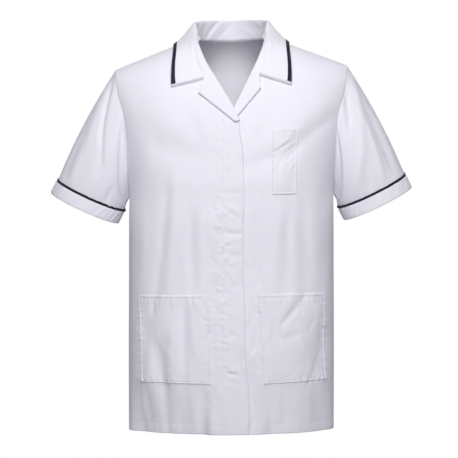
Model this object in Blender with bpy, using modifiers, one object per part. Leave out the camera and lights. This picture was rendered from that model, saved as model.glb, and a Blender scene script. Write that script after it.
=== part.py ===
"""A short-sleeved medical tunic in the form it has when worn, open at neck, hem and cuffs."""
from collections import namedtuple
import math

import bmesh
import bpy
import numpy as np

# Frame: the origin is between the shoulder seams at the neck, where the wearer carries the tunic.
# +X is the wearer's left, -Y is the front and +Z is up. All sizes are in metres.
CLOTH = 0.0015
SEAM_GAP = 0.0003
BACK_LENGTH = 0.742
UNDERARM = -0.298
LEVEL_ROWS = 0.170
SQUARENESS = 2.4
SEAM_CALM = 0.05
LEAN_TOP, LEAN_HEM = 0.021, 0.008

# Shoulder line: a straight slope on each side, rounded at the middle
SHOULDER_TOP = 0.0237
SHOULDER_SLOPE = 0.383
NECK_ROUND = 0.015
NECK_HALF = 0.062
SHOULDER_HALF = 0.219
ROUNDING = {"front": (0.30, 0.12), "back": (0.10, 0.12)}

# Body sections from hem to neck
Section = namedtuple("Section", "height half_width front back")
SECTIONS = (
    Section(-0.742, 0.1935, 0.128, 0.136),
    Section(-0.600, 0.1940, 0.124, 0.134),
    Section(-0.430, 0.1935, 0.120, 0.120),
    Section(-0.340, 0.1925, 0.126, 0.124),
    Section(-0.298, 0.1885, 0.127, 0.127),
    Section(-0.285, 0.1903, 0.128, 0.128),
    Section(-0.268, 0.1945, 0.128, 0.129),
    Section(-0.245, 0.2010, 0.128, 0.130),
    Section(-0.200, 0.2110, 0.127, 0.130),
    Section(-0.120, 0.2300, 0.124, 0.126),
    Section(-0.050, 0.2450, 0.122, 0.122),
    Section(0.040, 0.2500, 0.120, 0.120),
)

# Edge of the body panels along the armhole seam
Edge = namedtuple("Edge", "height x")
ARMHOLE = (
    Edge(-0.298, 0.1885), Edge(-0.245, 0.1902), Edge(-0.185, 0.1920), Edge(-0.150, 0.1980),
    Edge(-0.113, 0.2095), Edge(-0.060, 0.2190), Edge(0.040, 0.2300),
)

# Roll line where a front turns back, and each front's own edge below it
BREAK = -0.173
GORGE_TOP = -0.018
V_SHIFT = 0.004
V_SHIFT_TOP, V_SHIFT_REACH = -0.045, 0.095
ROLL = (
    Edge(-0.240, -0.0400), Edge(-0.175, -0.0135), Edge(-0.1455, 0.0000), Edge(-0.0931, 0.0275),
    Edge(-0.0506, 0.0492), Edge(-0.0180, 0.0605), Edge(0.0010, 0.0625), Edge(0.0300, 0.0630),
)
FLY_EDGE = (
    Edge(-0.742, 0.0318), Edge(-0.660, 0.0316), Edge(-0.605, 0.0255), Edge(-0.520, 0.0242),
    Edge(-0.400, 0.0212), Edge(-0.220, 0.0195), Edge(-0.173, 0.0128), Edge(0.040, 0.0128),
)
HIDDEN_EDGE = (
    Edge(-0.742, -0.0220), Edge(-0.220, -0.0250), Edge(-0.195, -0.0160), Edge(-0.173, -0.0045),
    Edge(0.040, -0.0045),
)
OVERLAP_LIFT = 0.0012
OVERLAP_HALF = 0.085
V_LIFT = 0.0042
V_PLACE = (0.004, -0.158)
V_REACH = 0.085
ROLL_EDGE = 0.0037
NECK_CUT_REACH = 0.15

# Lapels: corners by side of the wearer, right -1 and left +1
LAPEL_TIP = {-1: (0.0575, -0.1158), 1: (0.0512, -0.1087)}
NOTCH = {-1: (0.0480, -0.0863), 1: (0.0497, -0.0802)}
LAPEL_RISE_LOW, LAPEL_RISE = 0.0029, 0.0048
LAPEL_START = BREAK + 0.004
LAPEL_START_REACH = (0.006, -0.002)
LAPEL_ROLL_HEIGHTS = {"tip": -0.101, "notch": -0.081, "gorge": (-0.062, -0.040), "top": GORGE_TOP - 0.014}
LAPEL_ROW_COUNTS = (6, 2, 2, 2, 1)
LAPEL_TOP_REACH = (-0.001, -0.013)
LAPEL_FLARE = 0.0008
LAPEL_RISE_REACH = 0.45
SEAM_CLEAR = 0.0005

# Collar: stations from the back's middle to the front edge, seam, roll and outer edge of each
Station = namedtuple("Station", "along seam roll edge")
BACK_STATIONS = (
    Station(0.00, (0.0000, 0.0800, 0.0012), (0.0000, 0.0790, 0.0365), (0.0000, -0.0160)),
    Station(0.12, (0.0300, 0.0672, 0.0012), (0.0330, 0.0665, 0.0355), (0.0400, -0.0180)),
    Station(0.24, (0.0530, 0.0400, 0.0012), (0.0585, 0.0395, 0.0310), (0.0800, -0.0175)),
    Station(0.33, (0.0600, 0.0160, 0.0016), (0.0680, 0.0160, 0.0270), (0.1010, -0.0174)),
)
SIDE_STATIONS = (
    Station(0.39, (0.0590, 0.0000, 0.0010), (0.0705, 0.0000, 0.0235), (0.1045, 0.0000, -0.0118)),
    Station(0.46, (0.0560, -0.0200, -0.0035), (0.0672, -0.0205, 0.0085), (0.1045, -0.0255, -0.0128)),
)
FRONT_STATIONS = (
    Station(0.56, (0.0605, -0.0180), None, (0.1075, -0.0350)),
    Station(0.68, (0.0600, -0.0430), None, (0.1100, -0.0600)),
    Station(0.84, (0.0553, -0.0680), None, (0.1112, -0.0850)),
    Station(1.00, None, None, (0.1110, -0.1005)),
)
NET_COLUMNS = (0.0, 0.16, 0.36, 0.55, 0.78, 1.0)
COLLAR_LIFT = 0.0058
COLLAR_SEAM_LIFT = 0.0054
COLLAR_SPREAD = 0.0010
FALL_BULGE = 0.0022
FALL_TILT = 0.3
FALL_PLACES = (0.42, 0.74)
FALL_LENGTH = 0.086
STRIPE_INSET, STRIPE_WIDTH, STRIPE_THICK = 0.0016, 0.0088, 0.0008
STRIPE_END = 0.996

# Sleeves
CUFF_END = (0.2780, 0.0000, -0.3210)
CUFF_HALF_WIDTH, CUFF_HALF_DEPTH = 0.0683, 0.0540
SLEEVE_ANGLE = math.radians(25.6)
CUFF_TILT = math.radians(7.0)
CUFF_BAND = 0.025
CUFF_TRIM = 0.0009
CUFF_TUCK = 0.006
CUFF_PROUD = 0.0019
PIPING_HEIGHT, PIPING_THICK = 0.0042, 0.0012
SLEEVE_START = 0.0015
SLEEVE_BOW = 0.0060
FOLD_FADE_TOP, FOLD_FADE_LOW = 0.12, 0.18
UNDERARM_RISE = 0.0100
UNDERARM_PUSH = 0.0060

# Patch pockets: corners in order top inner, top outer, bottom outer, bottom inner
POCKET_LIFT = 0.0022
HIP_POCKETS = {
    "right_hip_pocket": (
        (-0.0432, -0.4855), (-0.1715, -0.4855), (-0.1655, -0.6470), (-0.0392, -0.6490),
    ),
    "left_hip_pocket": (
        (0.0485, -0.4855), (0.1725, -0.4855), (0.1760, -0.6460), (0.0590, -0.6500),
    ),
}
PEN_POCKET = ((0.0750, -0.1835), (0.1222, -0.1835), (0.1175, -0.3030), (0.0752, -0.3040))

# Main folds of the body, lines on the panel with a width and a height, negative for a trough
Fold = namedtuple("Fold", "face start end width height")
FOLDS = (
    Fold("front", (0.192, -0.160), (0.030, -0.252), 0.014, -0.0040),
    Fold("front", (0.190, -0.140), (0.080, -0.205), 0.016, 0.0026),
    Fold("front", (-0.185, -0.195), (-0.020, -0.270), 0.018, -0.0028),
    Fold("front", (-0.118, -0.300), (-0.140, -0.500), 0.013, -0.0045),
    Fold("front", (-0.104, -0.270), (-0.112, -0.480), 0.014, 0.0036),
    Fold("front", (-0.076, -0.330), (-0.072, -0.500), 0.011, -0.0036),
    Fold("front", (-0.058, -0.300), (-0.056, -0.480), 0.013, 0.0028),
    Fold("front", (0.104, -0.330), (0.100, -0.500), 0.012, -0.0030),
    Fold("front", (0.138, -0.300), (0.136, -0.510), 0.014, -0.0034),
    Fold("front", (0.088, -0.320), (0.078, -0.480), 0.014, 0.0028),
    Fold("front", (-0.127, -0.560), (-0.124, -0.780), 0.013, -0.0042),
    Fold("front", (-0.092, -0.520), (-0.088, -0.700), 0.012, -0.0034),
    Fold("front", (-0.050, -0.640), (-0.046, -0.780), 0.013, -0.0032),
    Fold("front", (0.128, -0.490), (0.092, -0.555), 0.010, -0.0030),
    Fold("front", (0.060, -0.640), (0.078, -0.780), 0.016, -0.0032),
    Fold("front", (0.145, -0.570), (0.150, -0.700), 0.018, -0.0036),
    Fold("back", (-0.180, -0.170), (-0.070, -0.250), 0.017, -0.0036),
    Fold("back", (0.182, -0.160), (0.060, -0.262), 0.017, -0.0038),
    Fold("back", (-0.110, -0.320), (-0.122, -0.620), 0.018, -0.0046),
    Fold("back", (-0.045, -0.360), (-0.040, -0.680), 0.020, 0.0040),
    Fold("back", (0.030, -0.300), (0.044, -0.600), 0.018, -0.0040),
    Fold("back", (0.092, -0.380), (0.084, -0.780), 0.020, 0.0042),
    Fold("back", (0.135, -0.340), (0.140, -0.660), 0.016, -0.0040),
    Fold("back", (-0.080, -0.560), (-0.086, -0.790), 0.017, -0.0036),
)

# Main folds of a sleeve: round the sleeve from its top by the front, and down it from 0 to 1
SleeveFold = namedtuple("SleeveFold", "turn turn_end start end width height")
SLEEVE_FOLDS = {
    -1: (
        SleeveFold(0.145, 0.215, 0.00, 0.62, 0.030, -0.0045),
        SleeveFold(0.300, 0.330, 0.05, 0.80, 0.030, -0.0035),
        SleeveFold(0.710, 0.760, 0.05, 0.75, 0.034, -0.0042),
        SleeveFold(0.860, 0.840, 0.20, 0.90, 0.036, 0.0030),
    ),
    1: (
        SleeveFold(0.205, 0.250, 0.00, 0.80, 0.036, 0.0042),
        SleeveFold(0.110, 0.150, 0.02, 0.50, 0.026, -0.0038),
        SleeveFold(0.320, 0.340, 0.05, 0.80, 0.030, -0.0038),
        SleeveFold(0.740, 0.700, 0.05, 0.80, 0.034, -0.0042),
    ),
}

# Mesh sizes
YOKE_ROWS, SKIRT_ROWS = 14, 13
YOKE_SPREAD = 2.07
BACK_COLUMNS, FRONT_COLUMNS = 30, 17
SLEEVE_ROUND, SLEEVE_ROWS = 30, 9
COLLAR_ROWS, COLLAR_COLUMNS = 42, 9
DENSE = 240


def column(table, name):
    """One named column of a table."""
    return np.array([getattr(row, name) for row in table], float)


def smooth(at, keys, values):
    """A smooth curve through the values, read at any place between their keys."""
    at, keys, values = np.asarray(at, float), np.asarray(keys, float), np.asarray(values, float)
    slopes = np.gradient(values, keys, axis=0)
    index = np.clip(np.searchsorted(keys, at, side="right") - 1, 0, len(keys) - 2)
    shape = at.shape + (1,)*(values.ndim - 1)
    step = (keys[index + 1] - keys[index]).reshape(shape)
    t = np.clip((at - keys[index]).reshape(shape)/step, 0, 1)
    return ((1 + 2*t)*(1 - t)**2*values[index] + t*(1 - t)**2*step*slopes[index]
            + t**2*(3 - 2*t)*values[index + 1] - t**2*(1 - t)*step*slopes[index + 1])


def read(table, z, name="x"):
    """A table's column at a height."""
    return smooth(z, column(table, "height"), column(table, name))


def ease(t):
    """Goes gently from 0 to 1."""
    t = np.clip(t, 0, 1)
    return t*t*(3 - 2*t)


def round_off(t):
    """Rises from 0 to 1, steeply at first and level at the end."""
    return (1 - (1 - np.clip(t, 0, 1))**SQUARENESS)**(1/SQUARENESS)


def shoulder_line(x):
    """Height of the shoulder seam."""
    return SHOULDER_TOP - SHOULDER_SLOPE*np.hypot(x, NECK_ROUND)


def body_depth(x, z, face):
    """Distance of a body panel from the plane through the side and shoulder seams."""
    half_width = read(SECTIONS, z, "half_width")
    reach = np.interp(np.abs(x), (NECK_HALF, SHOULDER_HALF), ROUNDING[face])
    over_shoulder = round_off((shoulder_line(x) - z)/reach)
    return read(SECTIONS, z, face)*round_off(1 - np.abs(x)/half_width)*over_shoulder


def fold_height(x, z, face):
    """Height of the panel's folds, outwards."""
    total = np.zeros_like(x)
    for fold in FOLDS:
        if fold.face != face:
            continue
        (x0, z0), (x1, z1) = fold.start, fold.end
        length = math.hypot(x1 - x0, z1 - z0)
        ux, uz = (x1 - x0)/length, (z1 - z0)/length
        along = ((x - x0)*ux + (z - z0)*uz)/length
        across = ((x - x0)*uz - (z - z0)*ux)/fold.width
        total += fold.height*np.exp(-across**2)*np.exp(-(2.1*(along - 0.5))**4)
    return total


def overlap_lift(x, z, side):
    """Outward shift that lets the right front pass over the left one and its lapel."""
    if side == 0:
        return np.zeros_like(x)
    near = 1 - ease((np.abs(x) - 0.5*OVERLAP_HALF)/(0.5*OVERLAP_HALF))
    lift = -side*OVERLAP_LIFT*near
    if side < 0:
        distance = np.hypot(x - V_PLACE[0], z - V_PLACE[1])
        lift = lift + V_LIFT*(1 - ease(distance/V_REACH))
    return lift


def on_body(x, z, face, out=0.0, side=0):
    """Points of a body panel's middle layer, moved out by a distance along its normal."""
    x, z = np.asarray(x, float), np.asarray(z, float)
    x, z = np.broadcast_arrays(x, z)
    step = 0.001
    sign = -1 if face == "front" else 1
    y = body_depth(x, z, face)
    slope_x = (body_depth(x + step, z, face) - body_depth(x - step, z, face))/(2*step)
    slope_z = (body_depth(x, z + step, face) - body_depth(x, z - step, face))/(2*step)
    normal = np.stack([-slope_x, sign*np.ones_like(y), -slope_z], -1)
    normal /= np.linalg.norm(normal, axis=-1, keepdims=True)
    near_seam = ease(y/SEAM_CALM)
    total = out + near_seam*fold_height(x, z, face) + overlap_lift(x, z, side)
    points = np.stack([x, sign*(y + 0.5*SEAM_GAP), z], -1)
    return points + normal*np.asarray(total)[..., None]


def roll_x(z, side):
    """Where a front's roll line lies, for the wearer's right (-1) or left (+1) front."""
    shift = V_SHIFT*ease((V_SHIFT_TOP - z)/V_SHIFT_REACH)
    return side*read(ROLL, z) + shift


def inner_edge(z, side):
    """A front's inner edge: the roll line down to the break, then the front's own edge."""
    rolled = roll_x(z, side) + side*ROLL_EDGE
    straight = read(FLY_EDGE if side < 0 else HIDDEN_EDGE, z)
    return np.where(z > BREAK, rolled, straight)


def drops():
    """How far below the shoulder line each row of a body panel lies."""
    yoke = [-UNDERARM*(i/YOKE_ROWS)**YOKE_SPREAD for i in range(YOKE_ROWS + 1)]
    skirt = [-UNDERARM + (BACK_LENGTH + UNDERARM)*i/SKIRT_ROWS for i in range(1, SKIRT_ROWS + 1)]
    return np.array(yoke + skirt)


def row_height(x, drop, neck_cut=False):
    """Height of a row at x: it follows the shoulder line at the top and is level at the chest."""
    fade = np.clip(1 - drop/LEVEL_ROWS, 0, 1)
    z = fade*shoulder_line(x) - drop
    if neck_cut:
        cut = np.clip(shoulder_line(x) - shoulder_line(NECK_HALF), 0, None)
        z = z - cut*np.clip(1 - drop/NECK_CUT_REACH, 0, 1)
    return z


def outer_x(drop):
    """Where a row ends, at the armhole or the side seam."""
    x = SHOULDER_HALF
    if drop >= -UNDERARM - 1e-9:
        return float(read(SECTIONS, -drop, "half_width"))
    for _ in range(30):
        x = float(read(ARMHOLE, row_height(x, drop)))
    return x


def inner_x(drop, side):
    """Where a front's row starts, at its inner edge."""
    x = side*NECK_HALF
    for _ in range(60):
        x = 0.5*x + 0.5*float(inner_edge(np.asarray(row_height(x, drop)), side))
    return x


def spread(points, values, count):
    """Values spread evenly by distance along a line of points."""
    length = np.concatenate([[0], np.cumsum(np.linalg.norm(np.diff(points, axis=0), axis=1))])
    return np.interp(np.linspace(0, length[-1], count), length, values)


def panel_row(start, end, drop, face, side, count):
    """One row of a panel between two places."""
    ends = 0.5 - 0.5*np.cos(np.linspace(0, np.pi, DENSE))
    x = start + (end - start)*ends
    cut = face == "back"
    dense = on_body(x, row_height(x, drop, cut), face)
    x = spread(dense, x, count)
    return on_body(x, row_height(x, drop, cut), face, 0.0, side)


def back_points():
    """Grid of the back panel, from shoulder to hem and side to side."""
    rows = [panel_row(-outer_x(d), outer_x(d), d, "back", 0, BACK_COLUMNS) for d in drops()]
    return np.array(rows)


def front_points(side):
    """Grid of one front panel, from shoulder to hem and inner edge to side."""
    rows = [panel_row(inner_x(d, side), side*outer_x(d), d, "front", side, FRONT_COLUMNS) for d in drops()]
    return np.array(rows)


def normals_of(points, closed=False):
    """Unit normals of a grid of points."""
    if closed:
        ring = np.concatenate([points[:, -2:-1], points, points[:, 1:2]], axis=1)
        across = np.gradient(ring, axis=1)[:, 1:-1]
    else:
        across = np.gradient(points, axis=1)
    down = np.gradient(points, axis=0)
    normal = np.cross(down, across)
    return normal/np.maximum(np.linalg.norm(normal, axis=-1, keepdims=True), 1e-12)


def roll_frame(z, side):
    """A point on the roll line, the direction across it to the opening, and the outward normal."""
    step = 0.002
    here = on_body(roll_x(z, side), z, "front", 0.0, side)
    above = on_body(roll_x(z + step, side), z + step, "front", 0.0, side)
    below = on_body(roll_x(z - step, side), z - step, "front", 0.0, side)
    lifted = on_body(roll_x(z, side), z, "front", 0.001, side)
    normal = (lifted - here)/np.linalg.norm(lifted - here)
    run = (above - below)/np.linalg.norm(above - below)
    across = -side*np.cross(run, normal)
    return here, across/np.linalg.norm(across), normal


def lapel_outline(side):
    """Lapel rows: height on the roll line and the outer corner that faces it, from the break up."""
    start_x = side*float(roll_x(LAPEL_START, side)) + LAPEL_START_REACH[0]
    top, upper, lower = (station.seam for station in FRONT_STATIONS[:3])
    corners = (
        (LAPEL_START, (start_x, LAPEL_START + LAPEL_START_REACH[1])),
        (LAPEL_ROLL_HEIGHTS["tip"], LAPEL_TIP[side]),
        (LAPEL_ROLL_HEIGHTS["notch"], NOTCH[side]),
        (LAPEL_ROLL_HEIGHTS["gorge"][0], lower),
        (LAPEL_ROLL_HEIGHTS["gorge"][1], upper),
        (LAPEL_ROLL_HEIGHTS["top"], (top[0] + LAPEL_TOP_REACH[0], top[1] + LAPEL_TOP_REACH[1])),
    )
    rows = []
    for (z0, p0), (z1, p1), count in zip(corners, corners[1:], LAPEL_ROW_COUNTS):
        for i in range(count):
            t = i/count
            rows.append((z0 + (z1 - z0)*t, p0[0] + (p1[0] - p0[0])*t, p0[1] + (p1[1] - p0[1])*t))
    rows.append((corners[-1][0], *corners[-1][1]))
    return rows


def lapel_points(side, turn_steps=4, flat_steps=6):
    """Grid of a lapel: it turns round the roll line and lies just off the front."""
    grid = []
    for z, outer, outer_z in lapel_outline(side):
        amount = (z - BREAK)/(GORGE_TOP - BREAK)
        rise = LAPEL_RISE_LOW + (LAPEL_RISE - LAPEL_RISE_LOW)*ease(amount/LAPEL_RISE_REACH)
        radius = rise/2
        here, across, normal = roll_frame(np.asarray(z), side)
        centre = here - across*radius + normal*radius
        row = []
        for i in range(turn_steps + 1):
            angle = -math.pi/2 + math.pi*i/turn_steps
            row.append(centre + radius*(across*math.cos(angle) + normal*math.sin(angle)))
        end_x = side*(outer - SEAM_CLEAR)
        for i in range(1, flat_steps + 1):
            t = i/flat_steps
            flat_x = centre[0] + (end_x - centre[0])*t
            flat_z = centre[2] + (outer_z - centre[2])*t
            row.append(on_body(flat_x, flat_z, "front", rise + LAPEL_FLARE*t, side))
        grid.append(row)
    return np.array(grid)


def collar_net(side):
    """Control net of one half of the collar, from the back's middle to the front edge."""
    net = []
    for station in BACK_STATIONS + SIDE_STATIONS:
        seam, roll = np.array(station.seam), np.array(station.roll)
        if len(station.edge) == 2:
            edge = on_body(station.edge[0], station.edge[1], "back", COLLAR_LIFT)
        else:
            edge = np.array(station.edge)
        away = edge - seam
        away[2] = FALL_TILT*np.linalg.norm(away)
        away /= np.linalg.norm(away)
        first, second = (roll + place*(edge - roll) + FALL_BULGE*away for place in FALL_PLACES)
        net.append([seam, 0.5*(seam + roll), roll, first, second, edge])
    for station in FRONT_STATIONS:
        seam = np.array(station.seam or NOTCH[side])
        edge = np.array(station.edge)
        seam = seam + (edge - seam)*SEAM_CLEAR/np.linalg.norm(edge - seam)
        row = []
        for t in NET_COLUMNS:
            x, z = seam + (edge - seam)*t
            row.append(on_body(x, z, "front", COLLAR_SEAM_LIFT + COLLAR_SPREAD*t))
        net.append(row)
    net = np.array(net)
    net[..., 0] *= side
    return net


def collar_surface(along, across, out=0.0):
    """Points of the collar; along runs from -1 to 1 and across from the seam (0) to the edge (1)."""
    keys = column(BACK_STATIONS + SIDE_STATIONS + FRONT_STATIONS, "along")
    net = np.concatenate([collar_net(-1)[:0:-1], collar_net(1)])
    keys = np.concatenate([-keys[:0:-1], keys])
    rows = smooth(along, keys, net)
    points = np.array([smooth(across, NET_COLUMNS, row) for row in rows])
    return points + normals_of(points)*out


def sleeve_rings(side):
    """The armhole loop and the ring at the cuff's top, matched point by point."""
    depth = -UNDERARM*(0.5 - 0.5*np.cos(np.linspace(0, np.pi, DENSE)))**1.4
    x = np.array([outer_x(min(d, -UNDERARM - 1e-6)) for d in depth])
    z = row_height(x, depth)
    front = on_body(side*x, z, "front")
    back = on_body(side*x, z, "back")
    loop = np.concatenate([front, back[::-1]])
    length = np.concatenate([[0], np.cumsum(np.linalg.norm(np.diff(loop, axis=0), axis=1))])
    even = np.linspace(0, length[-1], SLEEVE_ROUND + 1)
    loop = np.stack([np.interp(even, length, loop[:, i]) for i in range(3)], -1)
    loop[0, 1] = loop[-1, 1] = 0
    return loop, cuff_ring(side, CUFF_BAND, 0.0)


def cuff_ring(side, up, proud):
    """A ring round the sleeve, a distance up from the cuff's end and proud of the sleeve."""
    axis = np.array([side*math.sin(SLEEVE_ANGLE), 0, -math.cos(SLEEVE_ANGLE)])
    outer = np.array([side*math.cos(SLEEVE_ANGLE), 0, math.sin(SLEEVE_ANGLE)])
    front = np.array([0, -1, 0])*math.cos(CUFF_TILT) + axis*math.sin(CUFF_TILT)
    centre = np.array(CUFF_END)*(side, 1, 1) - axis*up
    angle = np.linspace(0, 2*np.pi, SLEEVE_ROUND + 1)[:, None]
    wide, deep = CUFF_HALF_WIDTH + proud, CUFF_HALF_DEPTH + proud
    return centre + outer*wide*np.cos(angle) + front*deep*np.sin(angle)


def sleeve_points(side):
    """Grid of a sleeve, from the armhole seam to just inside the cuff."""
    loop, end = sleeve_rings(side)
    turn = np.linspace(0, 1, SLEEVE_ROUND + 1)
    under = np.clip(-np.cos(2*np.pi*turn), 0, 1)**2
    outwards = end - end[:-1].mean(axis=0)
    outwards /= np.linalg.norm(outwards, axis=1, keepdims=True)
    control = 0.5*(loop + end) + 2*SLEEVE_BOW*outwards*(1 - under)[:, None]
    control[:, 2] += UNDERARM_RISE*under
    control[:, 0] += side*UNDERARM_PUSH*under
    tangent = np.gradient(loop, axis=0)
    tangent[0] = tangent[-1] = loop[1] - loop[-2]
    tangent /= np.linalg.norm(tangent, axis=1, keepdims=True)
    leave = control - loop
    leave -= tangent*np.sum(leave*tangent, axis=1, keepdims=True)
    leave /= np.linalg.norm(leave, axis=1, keepdims=True)
    start = loop + leave*SLEEVE_START
    down = np.linspace(0, 1, SLEEVE_ROWS)[:, None]
    t = down[..., None]
    grid = (1 - t)**2*start + 2*t*(1 - t)*control + t**2*end
    height = np.zeros(grid.shape[:2])
    for fold in SLEEVE_FOLDS[side]:
        along = (down - fold.start)/(fold.end - fold.start)
        centre = fold.turn + (fold.turn_end - fold.turn)*along
        across = (turn[None, :] - centre)/fold.width
        height += fold.height*np.exp(-across**2)*np.exp(-(2.0*(along - 0.5))**4)
    height *= ease(down/FOLD_FADE_TOP)*ease((1 - down)/FOLD_FADE_LOW)
    normal = normals_of(grid, True)*side
    grid = grid - normal*height[..., None]
    return np.concatenate([grid, cuff_ring(side, CUFF_BAND - CUFF_TUCK, 0.0)[None]])


def piping_points(side):
    """Two rings on the sleeve, just above the cuff."""
    sleeve = sleeve_points(side)
    end, above = sleeve[-2], sleeve[-3]
    up = (above - end)/np.linalg.norm(above - end, axis=1, keepdims=True)
    outwards = end - end[:-1].mean(axis=0)
    outwards -= up*np.sum(outwards*up, axis=1, keepdims=True)
    outwards /= np.linalg.norm(outwards, axis=1, keepdims=True)
    proud = 0.5*CLOTH + 0.5*PIPING_THICK + 2*SEAM_GAP
    low, high = SEAM_GAP, SEAM_GAP + PIPING_HEIGHT
    return np.array([end + up*high + outwards*proud, end + up*low + outwards*CUFF_PROUD])


def on_panel(panel, x, z):
    """Points on the flat faces of a panel's level rows, read by their place in the front view."""
    heights = panel[:, :, 2].mean(axis=1)
    points = []
    for px, pz in zip(np.ravel(x), np.ravel(z)):
        row = np.interp(-pz, -heights, np.arange(len(heights)))
        j = min(int(row), len(heights) - 2)
        line = (1 - row + j)*panel[j] + (row - j)*panel[j + 1]
        order = np.argsort(line[:, 0])
        points.append([px, np.interp(px, line[order, 0], line[order, 1]), pz])
    return np.array(points).reshape(*np.shape(x), 3)


def between_corners(corners, v, u):
    """Places in the front view between four corners, top inner, top outer, bottom outer, bottom inner."""
    top_in, top_out, low_out, low_in = (np.array(corner) for corner in corners)
    v, u = np.asarray(v)[:, None, None], np.asarray(u)[None, :, None]
    flat = (1 - v)*((1 - u)*top_in + u*top_out) + v*((1 - u)*low_in + u*low_out)
    return flat[..., 0], flat[..., 1]


def patch_points(panel, corners, rows, columns, lift, finer=6):
    """Grid of a patch made from a panel's points, moved out, and pushed clear where the panel bulges."""
    v, u = np.linspace(0, 1, rows), np.linspace(0, 1, columns)
    patch = on_panel(panel, *between_corners(corners, v, u))
    fine_v, fine_u = np.linspace(0, 1, (rows - 1)*finer + 1), np.linspace(0, 1, (columns - 1)*finer + 1)
    under = on_panel(panel, *between_corners(corners, fine_v, fine_u))[..., 1]
    over = np.array([np.interp(fine_u, u, row) for row in patch[..., 1]])
    over = np.array([np.interp(fine_v, v, over[:, i]) for i in range(len(fine_u))]).T
    bulge = np.clip(over - under, 0, None)
    push = np.zeros((rows, columns))
    for j in range(rows):
        for i in range(columns):
            near = bulge[max(0, (j - 1)*finer):(j + 1)*finer + 1, max(0, (i - 1)*finer):(i + 1)*finer + 1]
            push[j, i] = near.max()
    normal = normals_of(patch)
    normal *= np.sign(-normal[..., 1:2])
    return patch + normal*(lift + push[..., None])


def cloth_material(name, colour, roughness):
    """A plain finish for one kind of cloth."""
    material = bpy.data.materials.new(name)
    material.use_nodes = True
    shader = material.node_tree.nodes["Principled BSDF"]
    shader.inputs["Base Color"].default_value = (*colour, 1)
    shader.inputs["Roughness"].default_value = roughness
    shader.inputs["Metallic"].default_value = 0
    return material


def hang(points):
    """The finished place of a point: one shoulder sits a little higher than the other."""
    points = np.array(points, float)
    lean = LEAN_TOP + (LEAN_HEM - LEAN_TOP)*np.clip(-points[..., 2]/BACK_LENGTH, 0, 1)
    points[..., 2] += lean*points[..., 0]
    return points


def cloth_sheet(name, points, material, wall=CLOTH, tube=False):
    """A wall of cloth through a grid of points."""
    rows, columns = points.shape[:2]
    mesh = bpy.data.meshes.new(name)
    shape = bmesh.new()
    bmesh.ops.create_grid(shape, x_segments=columns - 1, y_segments=rows - 1, size=0.5)
    placed = hang(points)
    for vertex in shape.verts:
        i = round((vertex.co.x + 0.5)*(columns - 1))
        j = round((vertex.co.y + 0.5)*(rows - 1))
        vertex.co = placed[j, i]
    if tube:
        bmesh.ops.remove_doubles(shape, verts=shape.verts, dist=1e-5)
    shape.to_mesh(mesh)
    shape.free()
    mesh.shade_smooth()
    mesh.materials.append(material)
    sheet = bpy.data.objects.new(name, mesh)
    bpy.data.collections["medical_tunic"].objects.link(sheet)
    solidify = sheet.modifiers.new("Wall", "SOLIDIFY")
    solidify.thickness = wall
    solidify.offset = 0
    return sheet


def make_sleeve(side, label, white, navy):
    """A sleeve with its turned cuff and the piping above the cuff."""
    cloth_sheet(label + "_sleeve", sleeve_points(side), white, tube=True)
    cuff = [cuff_ring(side, (CUFF_BAND - CUFF_TRIM)*(1 - t), CUFF_PROUD) for t in np.linspace(0, 1, 4)]
    cloth_sheet(label + "_cuff", np.array(cuff), white, tube=True)
    cloth_sheet(label + "_cuff_piping", piping_points(side), navy, PIPING_THICK, tube=True)


def make_collar(white, navy):
    """The collar and the braid along its outer edge."""
    along = np.linspace(-1, 1, COLLAR_ROWS)
    cloth_sheet("collar", collar_surface(along, np.linspace(0, 1, COLLAR_COLUMNS)), white)
    band = np.linspace(1 - (STRIPE_INSET + STRIPE_WIDTH)/FALL_LENGTH, 1 - STRIPE_INSET/FALL_LENGTH, 3)
    lift = 0.5*CLOTH + 2*SEAM_GAP + 0.5*STRIPE_THICK
    stripe = collar_surface(np.linspace(-STRIPE_END, STRIPE_END, COLLAR_ROWS), band, lift)
    cloth_sheet("collar_stripe", stripe, navy, STRIPE_THICK)


def make_tunic():
    """Every piece of the tunic."""
    white = cloth_material("white_polycotton", (0.86, 0.87, 0.92), 0.75)
    navy = cloth_material("navy_braid", (0.012, 0.016, 0.045), 0.7)
    cloth_sheet("back", back_points(), white)
    for side, label in ((-1, "right"), (1, "left")):
        cloth_sheet(label + "_front", front_points(side), white)
        cloth_sheet(label + "_lapel", lapel_points(side), white)
        make_sleeve(side, label, white, navy)
    make_collar(white, navy)
    for name, corners in HIP_POCKETS.items():
        side = -1 if name.startswith("right") else 1
        cloth_sheet(name, patch_points(front_points(side), corners, 8, 9, POCKET_LIFT), white)
    cloth_sheet("pen_pocket", patch_points(front_points(1), PEN_POCKET, 7, 4, POCKET_LIFT), white)


for old in list(bpy.data.objects):
    bpy.data.objects.remove(old, do_unlink=True)
collection = bpy.data.collections.new("medical_tunic")
bpy.context.scene.collection.children.link(collection)
make_tunic()
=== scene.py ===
"""The looks of a short-sleeved medical tunic: thin cloth shells, braid, piping, sewing and a plain stage."""
from collections import namedtuple
import math

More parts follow.
